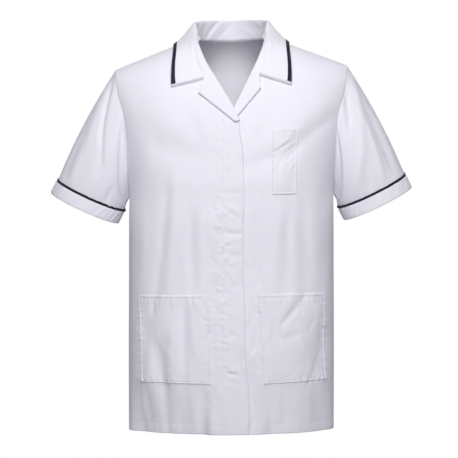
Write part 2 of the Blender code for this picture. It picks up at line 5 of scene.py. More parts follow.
import bmesh
import bpy
import numpy as np
from bpy.props import FloatProperty, FloatVectorProperty, PointerProperty
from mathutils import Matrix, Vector


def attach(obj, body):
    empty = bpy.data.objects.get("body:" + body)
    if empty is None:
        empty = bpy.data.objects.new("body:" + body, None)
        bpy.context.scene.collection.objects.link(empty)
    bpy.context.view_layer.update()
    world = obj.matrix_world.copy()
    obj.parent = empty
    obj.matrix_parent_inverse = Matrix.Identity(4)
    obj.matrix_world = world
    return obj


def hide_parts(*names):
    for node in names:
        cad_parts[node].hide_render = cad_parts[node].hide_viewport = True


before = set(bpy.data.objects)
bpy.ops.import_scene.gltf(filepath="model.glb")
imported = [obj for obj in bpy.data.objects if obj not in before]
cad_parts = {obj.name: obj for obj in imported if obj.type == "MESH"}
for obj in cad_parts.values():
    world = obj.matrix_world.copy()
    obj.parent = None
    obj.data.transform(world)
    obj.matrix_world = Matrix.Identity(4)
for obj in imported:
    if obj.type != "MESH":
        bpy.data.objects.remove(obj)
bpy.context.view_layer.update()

bl_info = {
    "name": "Medical tunic",
    "version": (1, 0, 0),
    "blender": (4, 5, 0),
    "location": "3D View > Sidebar > Tunic",
    "description": "Builds the cloth, trim, sewing and stage of a short-sleeved medical tunic",
    "category": "Object",
}

# The garment's frame and main sizes, in metres: +X is the wearer's left, -Y the front, +Z up
SEAM_GAP = 0.0003
BACK_LENGTH = 0.742
UNDERARM = -0.298
LEVEL_ROWS = 0.170
SQUARENESS = 2.4
LEAN_TOP, LEAN_HEM = 0.021, 0.008
SHOULDER_TOP = 0.0237
SHOULDER_SLOPE = 0.383
NECK_ROUND = 0.015
NECK_HALF = 0.062
SHOULDER_HALF = 0.219
ROUNDING = {"front": (0.30, 0.12), "back": (0.10, 0.12)}

# Body sections from hem to neck
Section = namedtuple("Section", "height half_width front back")
SECTIONS = (
    Section(-0.742, 0.1935, 0.128, 0.136),
    Section(-0.600, 0.1940, 0.124, 0.134),
    Section(-0.430, 0.1935, 0.120, 0.120),
    Section(-0.340, 0.1933, 0.126, 0.124),
    Section(-0.298, 0.1930, 0.127, 0.127),
    Section(-0.285, 0.1938, 0.128, 0.128),
    Section(-0.268, 0.1962, 0.128, 0.129),
    Section(-0.245, 0.2010, 0.128, 0.130),
    Section(-0.200, 0.2110, 0.127, 0.130),
    Section(-0.120, 0.2300, 0.124, 0.126),
    Section(-0.050, 0.2450, 0.122, 0.122),
    Section(0.040, 0.2500, 0.120, 0.120),
)

# Edge of the body panels along the armhole seam
Edge = namedtuple("Edge", "height x")
ARMHOLE = (
    Edge(-0.298, 0.1928), Edge(-0.245, 0.1940), Edge(-0.185, 0.1955), Edge(-0.150, 0.1995),
    Edge(-0.113, 0.2105), Edge(-0.060, 0.2190), Edge(0.040, 0.2300),
)

# Roll line where a front turns back, and each front's own edge below it
BREAK = -0.173
GORGE_TOP = -0.018
V_SHIFT = 0.004
ROLL = (
    Edge(-0.240, -0.0400), Edge(-0.175, -0.0135), Edge(-0.1455, 0.0000), Edge(-0.0931, 0.0275),
    Edge(-0.0506, 0.0492), Edge(-0.0180, 0.0605), Edge(0.0010, 0.0625), Edge(0.0300, 0.0630),
)
FLY_EDGE = (
    Edge(-0.742, 0.0318), Edge(-0.660, 0.0316), Edge(-0.605, 0.0255), Edge(-0.520, 0.0242),
    Edge(-0.400, 0.0212), Edge(-0.220, 0.0195), Edge(-0.173, 0.0128), Edge(0.040, 0.0128),
)
HIDDEN_EDGE = (
    Edge(-0.742, -0.0220), Edge(-0.220, -0.0250), Edge(-0.195, -0.0160), Edge(-0.173, -0.0045),
    Edge(0.040, -0.0045),
)
OVERLAP_LIFT = 0.0012
OVERLAP_HALF = 0.085
V_LIFT = 0.0042
V_PLACE = (0.004, -0.158)
V_REACH = 0.085
ROLL_TURN = 0.0033

# Lapels: corners by side of the wearer, right -1 and left +1
LAPEL_TIP = {-1: (0.0575, -0.1158), 1: (0.0512, -0.1087)}
NOTCH = {-1: (0.0480, -0.0863), 1: (0.0497, -0.0802)}
LAPEL_RISE_LOW, LAPEL_RISE = 0.0029, 0.0048
# The lapel's turned edge: how far out past it and down from it, less far out above a height
LAPEL_LIP_OUT = np.array([0.0005, 0.0016, 0.0028])
LAPEL_LIP_DOWN = np.array([0.0006, 0.0022, 0.0044])
LAPEL_LIP_TOP, LAPEL_LIP_SHARE = -0.100, 0.4
LAPEL_LIP_LEAST = 0.0006
LAPEL_FLARE = 0.0008
# Heights on the roll line that face a lapel's corners, from the break up, and how many rows lie between
LAPEL_HEIGHTS = {"tip": -0.101, "notch": -0.081, "gorge": (-0.062, -0.040), "neck": -0.004}
LAPEL_FOOT_RISE, LAPEL_TOP_DROP = 0.004, 0.014
LAPEL_NECK = (0.0700, -0.012)
LAPEL_ROWS = (6, 2, 2, 2, 1, 2)
SEAM_CLEAR = -0.0006

# Collar: stations from the back's middle to the front edge, seam, roll and outer edge of each
Station = namedtuple("Station", "along seam roll edge")
BACK_STATIONS = (
    Station(0.00, (0.0000, 0.0800, 0.0012), (0.0000, 0.0790, 0.0388), (0.0000, -0.0160)),
    Station(0.12, (0.0300, 0.0672, 0.0012), (0.0330, 0.0665, 0.0380), (0.0400, -0.0180)),
    Station(0.24, (0.0530, 0.0400, -0.0022), (0.0585, 0.0395, 0.0340), (0.0800, -0.0175)),
    Station(0.33, (0.0600, 0.0160, -0.0042), (0.0680, 0.0160, 0.0300), (0.1045, -0.0195)),
)
SIDE_STATIONS = (
    Station(0.39, (0.0590, 0.0000, -0.0052), (0.0695, 0.0000, 0.0258), (0.1090, 0.0000, -0.0158)),
    Station(0.46, (0.0560, -0.0200, -0.0066), (0.0672, -0.0205, 0.0085), (0.1090, -0.0255, -0.0170)),
)
FRONT_STATIONS = (
    Station(0.56, (0.0605, -0.0180), None, (0.1075, -0.0350)),
    Station(0.68, (0.0600, -0.0430), None, (0.1100, -0.0600)),
    Station(0.84, (0.0553, -0.0680), None, (0.1112, -0.0850)),
    Station(1.00, None, None, (0.1110, -0.1005)),
)
NET_COLUMNS = (0.0, 0.16, 0.36, 0.55, 0.78, 1.0)
COLLAR_LIFT = 0.0058
FALL_SHARES = (0.42, 0.74)
FALL_BULGE = 0.0002
FALL_LENGTH = 0.086
# Turned edges of the collar, how far down and out: its two front edges, and out and down at its seam
COLLAR_LIPS = ((0.0050, 0.0034), (0.0030, 0.0020), (0.0010, 0.0005))
COLLAR_TUCKS = ((0.0055, 0.0022), (0.0030, 0.0016))
STRIPE_INSET, STRIPE_WIDTH, STRIPE_THICK = 0.0016, 0.0110, 0.0008

# Sleeves
CUFF_END = (0.2780, 0.0000, -0.3210)
CUFF_HALF_WIDTH, CUFF_HALF_DEPTH = 0.0683, 0.0540
SLEEVE_ANGLE = math.radians(25.6)
CUFF_TILT = math.radians(7.0)
CUFF_BAND = 0.025
CUFF_TUCK = 0.006
CUFF_TRIM = 0.0009
CUFF_PROUD = 0.0019
CUFF_WRINKLES = 34
CUFF_LEAN = 0.030
PIPING_HEIGHT, PIPING_THICK, PIPING_PROUD = 0.0042, 0.0012, 0.0016
SLEEVE_START = -0.0030
SLEEVE_UNDER = 0.0011
SLEEVE_BOW = 0.0060
UNDERARM_RISE = -0.0040

# Patch pockets: corners in order top inner, top outer, bottom outer, bottom inner
POCKET_LIFT = 0.0008
POCKET_PUFF = 0.0013
HIP_POCKETS = {
    "right_hip_pocket": ((-0.0432, -0.4855), (-0.1715, -0.4855), (-0.1655, -0.6470), (-0.0392, -0.6490)),
    "left_hip_pocket": ((0.0485, -0.4855), (0.1725, -0.4855), (0.1760, -0.6460), (0.0590, -0.6500)),
}
PEN_POCKET = ((0.0750, -0.1835), (0.1222, -0.1835), (0.1175, -0.3030), (0.0752, -0.3040))
HIP_HEM, PEN_HEM, BODY_HEM = 0.0190, 0.0120, 0.0180
HIP_SEED, PEN_SEED = 81, 85
EDGE_STITCH = 0.0018
CUFF_STITCH = 0.004
STITCH_CLEAR = 0.0001
# The sewn line that parts the pen pocket
PEN_LINE_X, PEN_LINE_TOP, PEN_LINE_END = 0.0872, -0.188, -0.301

# Below this height the fronts fall back: how deep at the hem, from where and over what width, by side
HEM_FALL_TOP = -0.642
HEM_FALL_MOST = 1.2
HemFall = namedtuple("HemFall", "depth start ramp")
HEM_FALLS = {-1: HemFall(0.0180, 0.034, 0.026), 1: HemFall(0.0080, 0.048, 0.030)}
HEM_FALL_SIDE, HEM_FALL_SIDE_RAMP = 0.193, 0.02

# Rows of small puckers: their height, width and how far they slant
Pucker = namedtuple("Pucker", "height width slant")
HEM_PUCKER = Pucker(0.0007, 0.0036, 0.5)
SIDE_PUCKER = Pucker(0.0011, 0.0028, 1.0)
FOOT_PUCKER = Pucker(0.0014, 0.0028, 1.0)
SLEEVE_PUCKER = Pucker(0.0008, 0.0045, 0.1)
CUFF_PUCKER = Pucker(0.0015, 0.0062, 0.012)
MOUTH_PUCKER = Pucker(0.0013, 0.0021, 0.35)
POCKET_FOOT_PUCKER = Pucker(0.0010, 0.0019, 0.5)
HEM_PUCKERS, SLEEVE_PUCKERS = 34, 60
SEAM_PITCH, MOUTH_PITCH, FOOT_PITCH = 0.009, 0.0058, 0.0052
SEAM_REACH = 0.0070
PEN_PUCKER_SHARE = 0.6

# Small ridges, or grooves where the height is below 0, at a place from an edge or a line
Ridge = namedtuple("Ridge", "height place width")
HEM_GROOVE = (Ridge(-0.0005, 0.0, 0.0018),)
PEN_LINE_GROOVE = (Ridge(-0.0007, 0.0, 0.0012),)
POCKET_SIDE_RIDGES = (Ridge(0.0006, 0.0011, 0.0009), Ridge(-0.0006, 0.0028, 0.0008))
POCKET_HEM_RIDGES = (Ridge(-0.0004, 0.0, 0.0012), Ridge(0.0001, 0.003, 0.0016))
POCKET_TOP_GROOVE = (Ridge(-0.0004, 0.0, 0.0014),)
POCKET_MOUTH_ROLL = (Ridge(0.0009, 0.0034, 0.0018),)
FLY_GROOVE = (Ridge(-0.0011, 0.0, 0.0018),)
FLY_DROP = (Ridge(-0.0008, 0.0, 0.0012),)
PLACKET = (Ridge(0.0009, -0.003, 0.0020),)
PLACKET_TOP, PLACKET_END = -0.200, -0.290

# Fly: its stitch line on the right front, and the edge of the hidden placket inside it
FLY_STITCH_X = -0.0175
FLY_STITCH_TOP, FLY_STITCH_END = -0.205, -0.655
FlyCrease = namedtuple("FlyCrease", "height depth slope start end width")
# The pillow above each crease, in shares of its depth and width
Pillow = namedtuple("Pillow", "height place width")
FLY_CREASES = (
    FlyCrease(-0.232, 0.0006, -0.10, -0.010, 0.016, 0.0030),
    FlyCrease(-0.262, 0.0009, 0.10, -0.014, 0.014, 0.0034),
    FlyCrease(-0.298, 0.0010, -0.12, -0.012, 0.022, 0.0034),
    FlyCrease(-0.321, 0.0005, 0.22, -0.010, 0.020, 0.0040),
    FlyCrease(-0.334, 0.0011, -0.42, -0.012, 0.020, 0.0036),
    FlyCrease(-0.374, 0.0014, -0.06, -0.012, 0.026, 0.0034),
    FlyCrease(-0.398, 0.0006, 0.20, -0.012, 0.014, 0.0034),
    FlyCrease(-0.415, 0.0010, 0.03, -0.010, 0.024, 0.0044),
    FlyCrease(-0.452, 0.0010, -0.80, -0.010, 0.008, 0.0036),
    FlyCrease(-0.474, 0.0009, 0.12, -0.004, 0.024, 0.0050),
    FlyCrease(-0.505, 0.0007, -0.35, -0.014, 0.012, 0.0034),
    FlyCrease(-0.533, 0.0008, 0.16, -0.010, 0.024, 0.0042),
    FlyCrease(-0.556, 0.0012, -0.36, -0.010, 0.018, 0.0038),
    FlyCrease(-0.592, 0.0006, 0.40, -0.014, 0.012, 0.0040),
    FlyCrease(-0.628, 0.0012, -0.25, -0.010, 0.020, 0.0030),
)
FLY_ABOVE, FLY_BELOW = 0.045, 0.01
# Where the fly's relief fades out past its stitch line, above and below, and over what height
FLY_FADE_ABOVE, FLY_FADE_BELOW = (0.055, 0.03), (0.05, 0.05)
FLY_CREASE_RAMPS = (0.006, 0.012)
FLY_PILLOW = Pillow(0.5, 3.0, 2.2)
# Bumps strewn about the fly's stitch line: how many, how far aside, and the ranges they are drawn from
FLY_BUMPS = 190
Bump = namedtuple("Bump", "aside spread slant length width height")
FLY_BUMP = Bump(-0.001, 0.0065, (-0.9, 0.9), (0.0028, 0.0060), (0.0020, 0.0038), (-0.0004, 0.0012))
# The fly's edge lifts in waves: the least lift, the rest of it, and its reach from the edge
FLY_EDGE_LIFT, FLY_EDGE_WAVE, FLY_EDGE_REACH = 0.0002, 0.0012, 0.0075
FLY_LIFT_TOP, FLY_DROP_TOP, FLY_LIFT_RAMP, FLY_DROP_RAMP = -0.185, -0.175, 0.03, 0.02
# The turned edge of the fly: points out past it and down from it, and where it begins
FLY_LIP = ((0.0009, 0.0018), (0.0007, 0.0011), (0.0003, 0.0004))
FLY_LIP_TOP = -0.178


def faced(kind, front, back):
    """Rows of a table for the two faces of the body, the front's first."""
    return tuple(kind(face, *row) for face, rows in (("front", front), ("back", back)) for row in rows)


# Folds of the body: start and end of a line on the panel, width and height, negative for a trough
Fold = namedtuple("Fold", "face start end width height")
MAIN_FOLDS = faced(Fold, front=(
    ((0.196, -0.155), (0.090, -0.235), 0.0130, -0.0030),
    ((0.120, -0.222), (0.015, -0.258), 0.0160, -0.0026),
    ((0.190, -0.125), (0.060, -0.205), 0.0240, 0.0026),
    ((-0.190, -0.175), (-0.030, -0.258), 0.0340, -0.0024),
    ((-0.190, -0.130), (-0.030, -0.215), 0.0360, 0.0014),
    ((-0.085, -0.215), (-0.060, -0.240), 0.0140, -0.0012),
    ((-0.116, -0.280), (-0.142, -0.520), 0.0100, -0.0028),
    ((-0.102, -0.250), (-0.116, -0.490), 0.0110, 0.0022),
    ((-0.074, -0.330), (-0.072, -0.500), 0.0095, -0.0026),
    ((-0.056, -0.300), (-0.056, -0.480), 0.0110, 0.0020),
    ((0.104, -0.330), (0.098, -0.500), 0.0110, -0.0022),
    ((0.134, -0.300), (0.136, -0.510), 0.0110, -0.0022),
    ((0.088, -0.320), (0.074, -0.480), 0.0130, 0.0020),
    ((-0.128, -0.560), (-0.124, -0.780), 0.0110, -0.0040),
    ((-0.088, -0.490), (-0.086, -0.660), 0.0075, -0.0034),
    ((-0.070, -0.490), (-0.066, -0.590), 0.0100, 0.0026),
    ((-0.140, -0.480), (-0.160, -0.590), 0.0090, -0.0030),
    ((-0.140, -0.570), (-0.128, -0.665), 0.0120, -0.0036),
    ((-0.112, -0.520), (-0.108, -0.640), 0.0110, 0.0026),
    ((-0.050, -0.640), (-0.046, -0.780), 0.0110, -0.0032),
    ((-0.068, -0.640), (-0.072, -0.780), 0.0120, 0.0022),
    ((0.140, -0.484), (0.108, -0.528), 0.0080, -0.0024),
    ((0.114, -0.516), (0.090, -0.546), 0.0060, -0.0018),
    ((0.118, -0.486), (0.082, -0.530), 0.0120, 0.0014),
    ((0.060, -0.640), (0.078, -0.780), 0.0140, -0.0028),
    ((0.174, -0.545), (0.150, -0.650), 0.0190, -0.0040),
), back=(
    ((-0.180, -0.170), (-0.070, -0.250), 0.0170, -0.0036),
    ((0.182, -0.160), (0.060, -0.262), 0.0170, -0.0038),
    ((-0.110, -0.320), (-0.122, -0.620), 0.0180, -0.0046),
    ((-0.045, -0.360), (-0.040, -0.680), 0.0200, 0.0040),
    ((0.030, -0.300), (0.044, -0.600), 0.0180, -0.0040),
    ((0.092, -0.380), (0.084, -0.780), 0.0200, 0.0042),
    ((0.135, -0.340), (0.140, -0.660), 0.0160, -0.0040),
    ((-0.080, -0.560), (-0.086, -0.790), 0.0170, -0.0036),
))

# Smaller creases: start, end, width, height
CREASES = faced(Fold, front=(
    ((0.096, -0.568), (0.126, -0.561), 0.0080, -0.0018),
    ((0.074, -0.545), (0.092, -0.575), 0.0060, -0.0018),
    ((0.070, -0.575), (0.076, -0.640), 0.0070, 0.0012),
    ((0.046, -0.500), (0.062, -0.530), 0.0050, 0.0010),
    ((-0.158, -0.500), (-0.163, -0.560), 0.0070, -0.0016),
    ((-0.144, -0.540), (-0.140, -0.640), 0.0080, -0.0016),
    ((-0.064, -0.500), (-0.046, -0.530), 0.0060, 0.0014),
    ((-0.110, -0.500), (-0.118, -0.545), 0.0060, -0.0012),
    ((0.012, -0.600), (0.048, -0.715), 0.0080, -0.0020),
    ((0.028, -0.580), (0.070, -0.690), 0.0090, 0.0016),
    ((0.096, -0.655), (0.102, -0.735), 0.0080, -0.0014),
    ((0.158, -0.655), (0.164, -0.740), 0.0100, -0.0020),
    ((-0.160, -0.655), (-0.156, -0.740), 0.0090, -0.0020),
    ((-0.074, -0.655), (-0.070, -0.735), 0.0080, 0.0014),
    ((-0.018, -0.640), (-0.008, -0.740), 0.0110, 0.0016),
    ((-0.035, -0.490), (-0.036, -0.640), 0.0065, -0.0022),
    ((0.010, -0.450), (0.026, -0.486), 0.0060, -0.0016),
    ((-0.150, -0.215), (-0.085, -0.222), 0.0260, -0.0022),
    ((0.150, -0.330), (0.152, -0.420), 0.0100, 0.0014),
    ((-0.160, -0.330), (-0.168, -0.470), 0.0110, 0.0018),
    ((0.112, -0.340), (0.116, -0.420), 0.0060, 0.0010),
    ((-0.132, -0.060), (-0.150, -0.135), 0.0200, 0.0012),
    ((0.140, -0.060), (0.160, -0.130), 0.0200, 0.0012),
    ((-0.070, -0.135), (-0.030, -0.215), 0.0120, 0.0012),
    ((0.060, -0.135), (0.036, -0.215), 0.0120, 0.0012),
), back=(
    ((-0.060, -0.050), (-0.110, -0.120), 0.0140, -0.0014),
    ((0.064, -0.052), (0.112, -0.126), 0.0140, -0.0014),
    ((-0.150, -0.420), (-0.152, -0.560), 0.0100, 0.0018),
    ((0.006, -0.400), (-0.004, -0.560), 0.0100, 0.0016),
    ((0.062, -0.600), (0.058, -0.742), 0.0120, -0.0020),
    ((-0.020, -0.640), (-0.016, -0.745), 0.0100, -0.0018),
    ((0.152, -0.560), (0.154, -0.740), 0.0120, 0.0018),
    ((-0.148, -0.600), (-0.150, -0.742), 0.0110, -0.0018),
))

# Creases strewn over parts of a panel: how many, where, at what angle, how long, wide and high
Strewn = namedtuple("Strewn", "face count x z angle length width height")
STREWN = faced(Strewn, front=(
    (34, (-0.046, -0.020), (-0.735, -0.290), (50, 130), (0.016, 0.055), (0.0030, 0.0065), 0.0011),
    (26, (0.024, 0.052), (-0.735, -0.430), (50, 130), (0.016, 0.055), (0.0030, 0.0065), 0.0011),
    (26, (-0.165, -0.045), (-0.640, -0.500), (55, 125), (0.020, 0.070), (0.0035, 0.0080), 0.0010),
    (26, (0.055, 0.170), (-0.640, -0.500), (45, 135), (0.020, 0.070), (0.0035, 0.0080), 0.0010),
    (12, (-0.180, -0.040), (-0.735, -0.655), (62, 118), (0.025, 0.060), (0.0050, 0.0120), 0.0012),
    (12, (0.030, 0.180), (-0.735, -0.655), (50, 130), (0.020, 0.060), (0.0040, 0.0100), 0.0010),
    (18, (-0.180, -0.030), (-0.480, -0.260), (72, 108), (0.060, 0.150), (0.0060, 0.0120), 0.0010),
    (18, (0.030, 0.180), (-0.480, -0.310), (72, 108), (0.060, 0.150), (0.0060, 0.0120), 0.0010),
    (9, (0.084, 0.118), (-0.298, -0.200), (30, 70), (0.018, 0.045), (0.0028, 0.0055), 0.0016),
    (14, (-0.170, -0.040), (-0.230, -0.120), (10, 170), (0.040, 0.090), (0.0090, 0.0180), 0.0008),
    (14, (0.040, 0.170), (-0.230, -0.120), (10, 170), (0.040, 0.090), (0.0090, 0.0180), 0.0008),
    (46, (-0.016, 0.008), (-0.660, -0.225), (-34, 34), (0.010, 0.024), (0.0018, 0.0036), 0.0009),
    (30, (-0.034, -0.016), (-0.660, -0.185), (-50, 50), (0.006, 0.016), (0.0018, 0.0034), 0.0009),
), back=(
    (60, (-0.180, 0.180), (-0.735, -0.260), (68, 112), (0.060, 0.180), (0.0060, 0.0140), 0.0013),
    (26, (-0.170, 0.170), (-0.240, -0.060), (20, 160), (0.040, 0.100), (0.0080, 0.0160), 0.0009),
))

# Folds of a sleeve: round the sleeve from its top by the front, and down it from 0 to 1
SleeveFold = namedtuple("SleeveFold", "turn turn_end start end width height")
SLEEVE_FOLDS = {
    -1: (
        SleeveFold(0.070, 0.225, 0.06, 0.54, 0.0170, -0.0046),
        SleeveFold(0.040, 0.170, 0.10, 0.70, 0.0240, 0.0012),
        SleeveFold(0.215, 0.242, 0.50, 0.70, 0.0220, -0.0026),
        SleeveFold(0.130, 0.150, 0.62, 0.98, 0.0220, 0.0018),
        SleeveFold(0.080, 0.095, 0.50, 0.95, 0.0200, -0.0018),
        SleeveFold(0.330, 0.330, 0.62, 1.00, 0.0140, -0.0022),
        SleeveFold(0.710, 0.760, 0.05, 0.75, 0.0340, -0.0052),
        SleeveFold(0.860, 0.840, 0.20, 0.90, 0.0360, 0.0036),
        SleeveFold(0.640, 0.620, 0.10, 0.95, 0.0280, -0.0036),
        SleeveFold(0.780, 0.800, 0.40, 1.00, 0.0200, 0.0018),
    ),
    1: (
        SleeveFold(0.075, 0.300, 0.10, 0.76, 0.0320, 0.0028),
        SleeveFold(0.130, 0.200, 0.00, 0.24, 0.0220, -0.0042),
        SleeveFold(0.135, 0.190, 0.36, 0.90, 0.0150, 0.0026),
        SleeveFold(0.085, 0.125, 0.30, 0.92, 0.0260, -0.0034),
        SleeveFold(0.225, 0.270, 0.58, 0.98, 0.0150, -0.0016),
        SleeveFold(0.740, 0.700, 0.05, 0.80, 0.0340, -0.0052),
        SleeveFold(0.840, 0.860, 0.10, 0.90, 0.0340, 0.0036),
        SleeveFold(0.650, 0.640, 0.15, 0.95, 0.0260, -0.0034),
    ),
}

# Shares of a sleeve's length over which its relief fades: from the armhole, to the cuff, a step's to the cuff
SLEEVE_FADE_TOP, SLEEVE_FADE_CUFF, STEP_FADE_CUFF = 0.10, 0.12, 0.35
STEP_FADE = 0.12
# Soft steps of a sleeve beside the body, where it drops away towards the underarm
SLEEVE_STEPS = {
    -1: (SleeveFold(0.160, 0.365, 0.00, 0.60, 0.0500, -0.0060),),
    1: (SleeveFold(0.225, 0.390, 0.00, 0.62, 0.0500, -0.0060),),
}

# Wrinkles of the collar, in its own directions: along from back to front, across from seam to edge
Wrinkle = namedtuple("Wrinkle", "start end width height")
WRINKLES = (
    Wrinkle((-0.21, 0.02), (-0.08, 0.34), 0.016, -0.0020),
    Wrinkle((-0.17, 0.02), (-0.04, 0.34), 0.020, 0.0009),
    Wrinkle((-0.10, 0.02), (0.02, 0.30), 0.014, -0.0018),
    Wrinkle((0.04, 0.03), (0.14, 0.32), 0.015, -0.0020),
    Wrinkle((0.06, 0.20), (0.20, 0.04), 0.020, 0.0010),
    Wrinkle((0.15, 0.34), (0.26, 0.20), 0.024, 0.0012),
    Wrinkle((-0.30, 0.08), (-0.22, 0.36), 0.022, 0.0014),
    Wrinkle((0.66, 0.14), (0.84, 0.06), 0.040, -0.0012),
    Wrinkle((0.46, 0.26), (0.74, 0.20), 0.050, 0.0010),
    Wrinkle((-0.84, 0.06), (-0.60, 0.20), 0.040, -0.0016),
    Wrinkle((-0.66, 0.22), (-0.46, 0.30), 0.050, 0.0010),
    Wrinkle((-0.10, 0.60), (0.10, 0.74), 0.050, 0.0010),
    Wrinkle((0.22, 0.66), (0.34, 0.86), 0.040, -0.0010),
    Wrinkle((-0.36, 0.62), (-0.24, 0.86), 0.040, -0.0009),
)

# Mesh sizes
YOKE_SPREAD = 2.07
YOKE_ROWS, SKIRT_ROWS = 112, 212
BACK_COLUMNS, FRONT_COLUMNS = 130, 132
SLEEVE_ROUND, SLEEVE_ROWS = 150, 84
COLLAR_ROWS, COLLAR_COLUMNS = 240, 44
DENSE = 300

# Cut of what shows of a piece, in metres: its width, length and area. Cut of what shows of each piece, in
# metres, measured on the CAD's surfaces and not on the meshes made here; the lapels' and the collar's take
# in their turned edges and what is tucked away, and the braid's is its solid's, made wider by the share that
# STRIPE_WIDTH is wider here
Cut = namedtuple("Cut", "width length area")


def sizes():
    """The sizes that a user can change."""
    return bpy.context.scene.tunic_sizes


def colours():
    """The colours that a user can change."""
    return bpy.context.scene.tunic_colours


def column(table, name):
    """One named column of a table."""
    return np.array([getattr(row, name) for row in table], float)


def smooth(at, keys, values):
    """A smooth curve through the values, read at any place between their keys."""
    at, keys, values = np.asarray(at, float), np.asarray(keys, float), np.asarray(values, float)
    slopes = np.gradient(values, keys, axis=0)
    index = np.clip(np.searchsorted(keys, at, side="right") - 1, 0, len(keys) - 2)
    shape = at.shape + (1,)*(values.ndim - 1)
    step = (keys[index + 1] - keys[index]).reshape(shape)
    t = np.clip((at - keys[index]).reshape(shape)/step, 0, 1)
    return ((1 + 2*t)*(1 - t)**2*values[index] + t*(1 - t)**2*step*slopes[index]
            + t**2*(3 - 2*t)*values[index + 1] - t**2*(1 - t)*step*slopes[index + 1])


def read(table, z, name="x"):
    """A table's column at a height."""
    return smooth(z, column(table, "height"), column(table, name))


def ease(t):
    """Goes gently from 0 to 1."""
    t = np.clip(t, 0, 1)
    return t*t*(3 - 2*t)


def round_off(t):
    """Rises from 0 to 1, steeply at first and level at the end."""
    return (1 - (1 - np.clip(t, 0, 1))**SQUARENESS)**(1/SQUARENESS)


def bell(distance, width):
    """Falls softly from 1 to 0 over a width."""
    return np.exp(-(distance/width)**2)


def ridge_height(distance, ridges):
    """Height of small ridges at a distance from their line."""
    return sum(ridge.height*bell(distance - ridge.place, ridge.width) for ridge in ridges)


def shoulder_line(x):
    """Height of the shoulder seam."""
    return SHOULDER_TOP - SHOULDER_SLOPE*np.hypot(x, NECK_ROUND)


def body_depth(x, z, face):
    """Distance of a body panel from the plane through the side and shoulder seams."""
    half_width = read(SECTIONS, z, "half_width")
    reach = np.interp(np.abs(x), (NECK_HALF, SHOULDER_HALF), ROUNDING[face])
    over_shoulder = round_off((shoulder_line(x) - z)/reach)
    return read(SECTIONS, z, face)*round_off(1 - np.abs(x)/half_width)*over_shoulder


def strewn_folds():
    """The strewn creases as folds, the same in each run."""
    rng = np.random.default_rng(7)
    folds = []
    for patch in STREWN:
        for _ in range(patch.count):
            x, z = rng.uniform(*patch.x), rng.uniform(*patch.z)
            angle, half = math.radians(rng.uniform(*patch.angle)), 0.5*rng.uniform(*patch.length)
            dx, dz = half*math.cos(angle), half*math.sin(angle)
            height = patch.height*rng.uniform(0.4, 1.0)*rng.choice((-1, 1))
            folds.append(Fold(patch.face, (x - dx, z - dz), (x + dx, z + dz), rng.uniform(*patch.width),
                              height))
    return tuple(folds)


STREWN_FOLDS = strewn_folds()


def fold_height(x, z, face, fine=True):
    """Height of the panel's folds and creases, outwards."""
    total = np.zeros_like(x)
    for fold in MAIN_FOLDS + (CREASES + STREWN_FOLDS if fine else ()):
        if fold.face != face:
            continue
        (x0, z0), (x1, z1) = fold.start, fold.end
        length = math.hypot(x1 - x0, z1 - z0)
        ux, uz = (x1 - x0)/length, (z1 - z0)/length
        along = ((x - x0)*ux + (z - z0)*uz)/length
        across = ((x - x0)*uz - (z - z0)*ux)/fold.width
        total += fold.height*bell(across, 1)*np.exp(-(2.1*(along - 0.5))**4)
    return total


def ripples(count, low, high, seed):
    """Places, heights, widths and slants of a row of small puckers, the same in each run."""
    rng = np.random.default_rng(seed)
    place = np.linspace(low, high, count) + rng.uniform(-0.35, 0.35, count)*(high - low)/count
    tall, wide, slant = (rng.uniform(*ends, count) for ends in ((0.35, 1.0), (0.7, 1.4), (-0.5, 0.5)))
    return zip(place, tall, wide, slant)


def pucker_row(pucker, along, aside, count, low, high, seed):
    """Height of a row of puckers at places along it and aside from it."""
    total = 0
    for place, tall, wide, slant in ripples(count, low, high, seed):
        total = total + tall*bell(along - place + pucker.slant*slant*aside, pucker.width*wide)
    return pucker.height*total


def hem_fall(x, z):
    """How the front falls back below the pockets, more on the wearer's right."""
    down = np.clip((HEM_FALL_TOP - z)/(HEM_FALL_TOP + BACK_LENGTH), 0, HEM_FALL_MOST)
    total = 0
    for side, fall in HEM_FALLS.items():
        near_side = ease((HEM_FALL_SIDE - side*x)/HEM_FALL_SIDE_RAMP)
        total = total + fall.depth*ease((side*x - fall.start)/fall.ramp)*near_side
    return -down*total


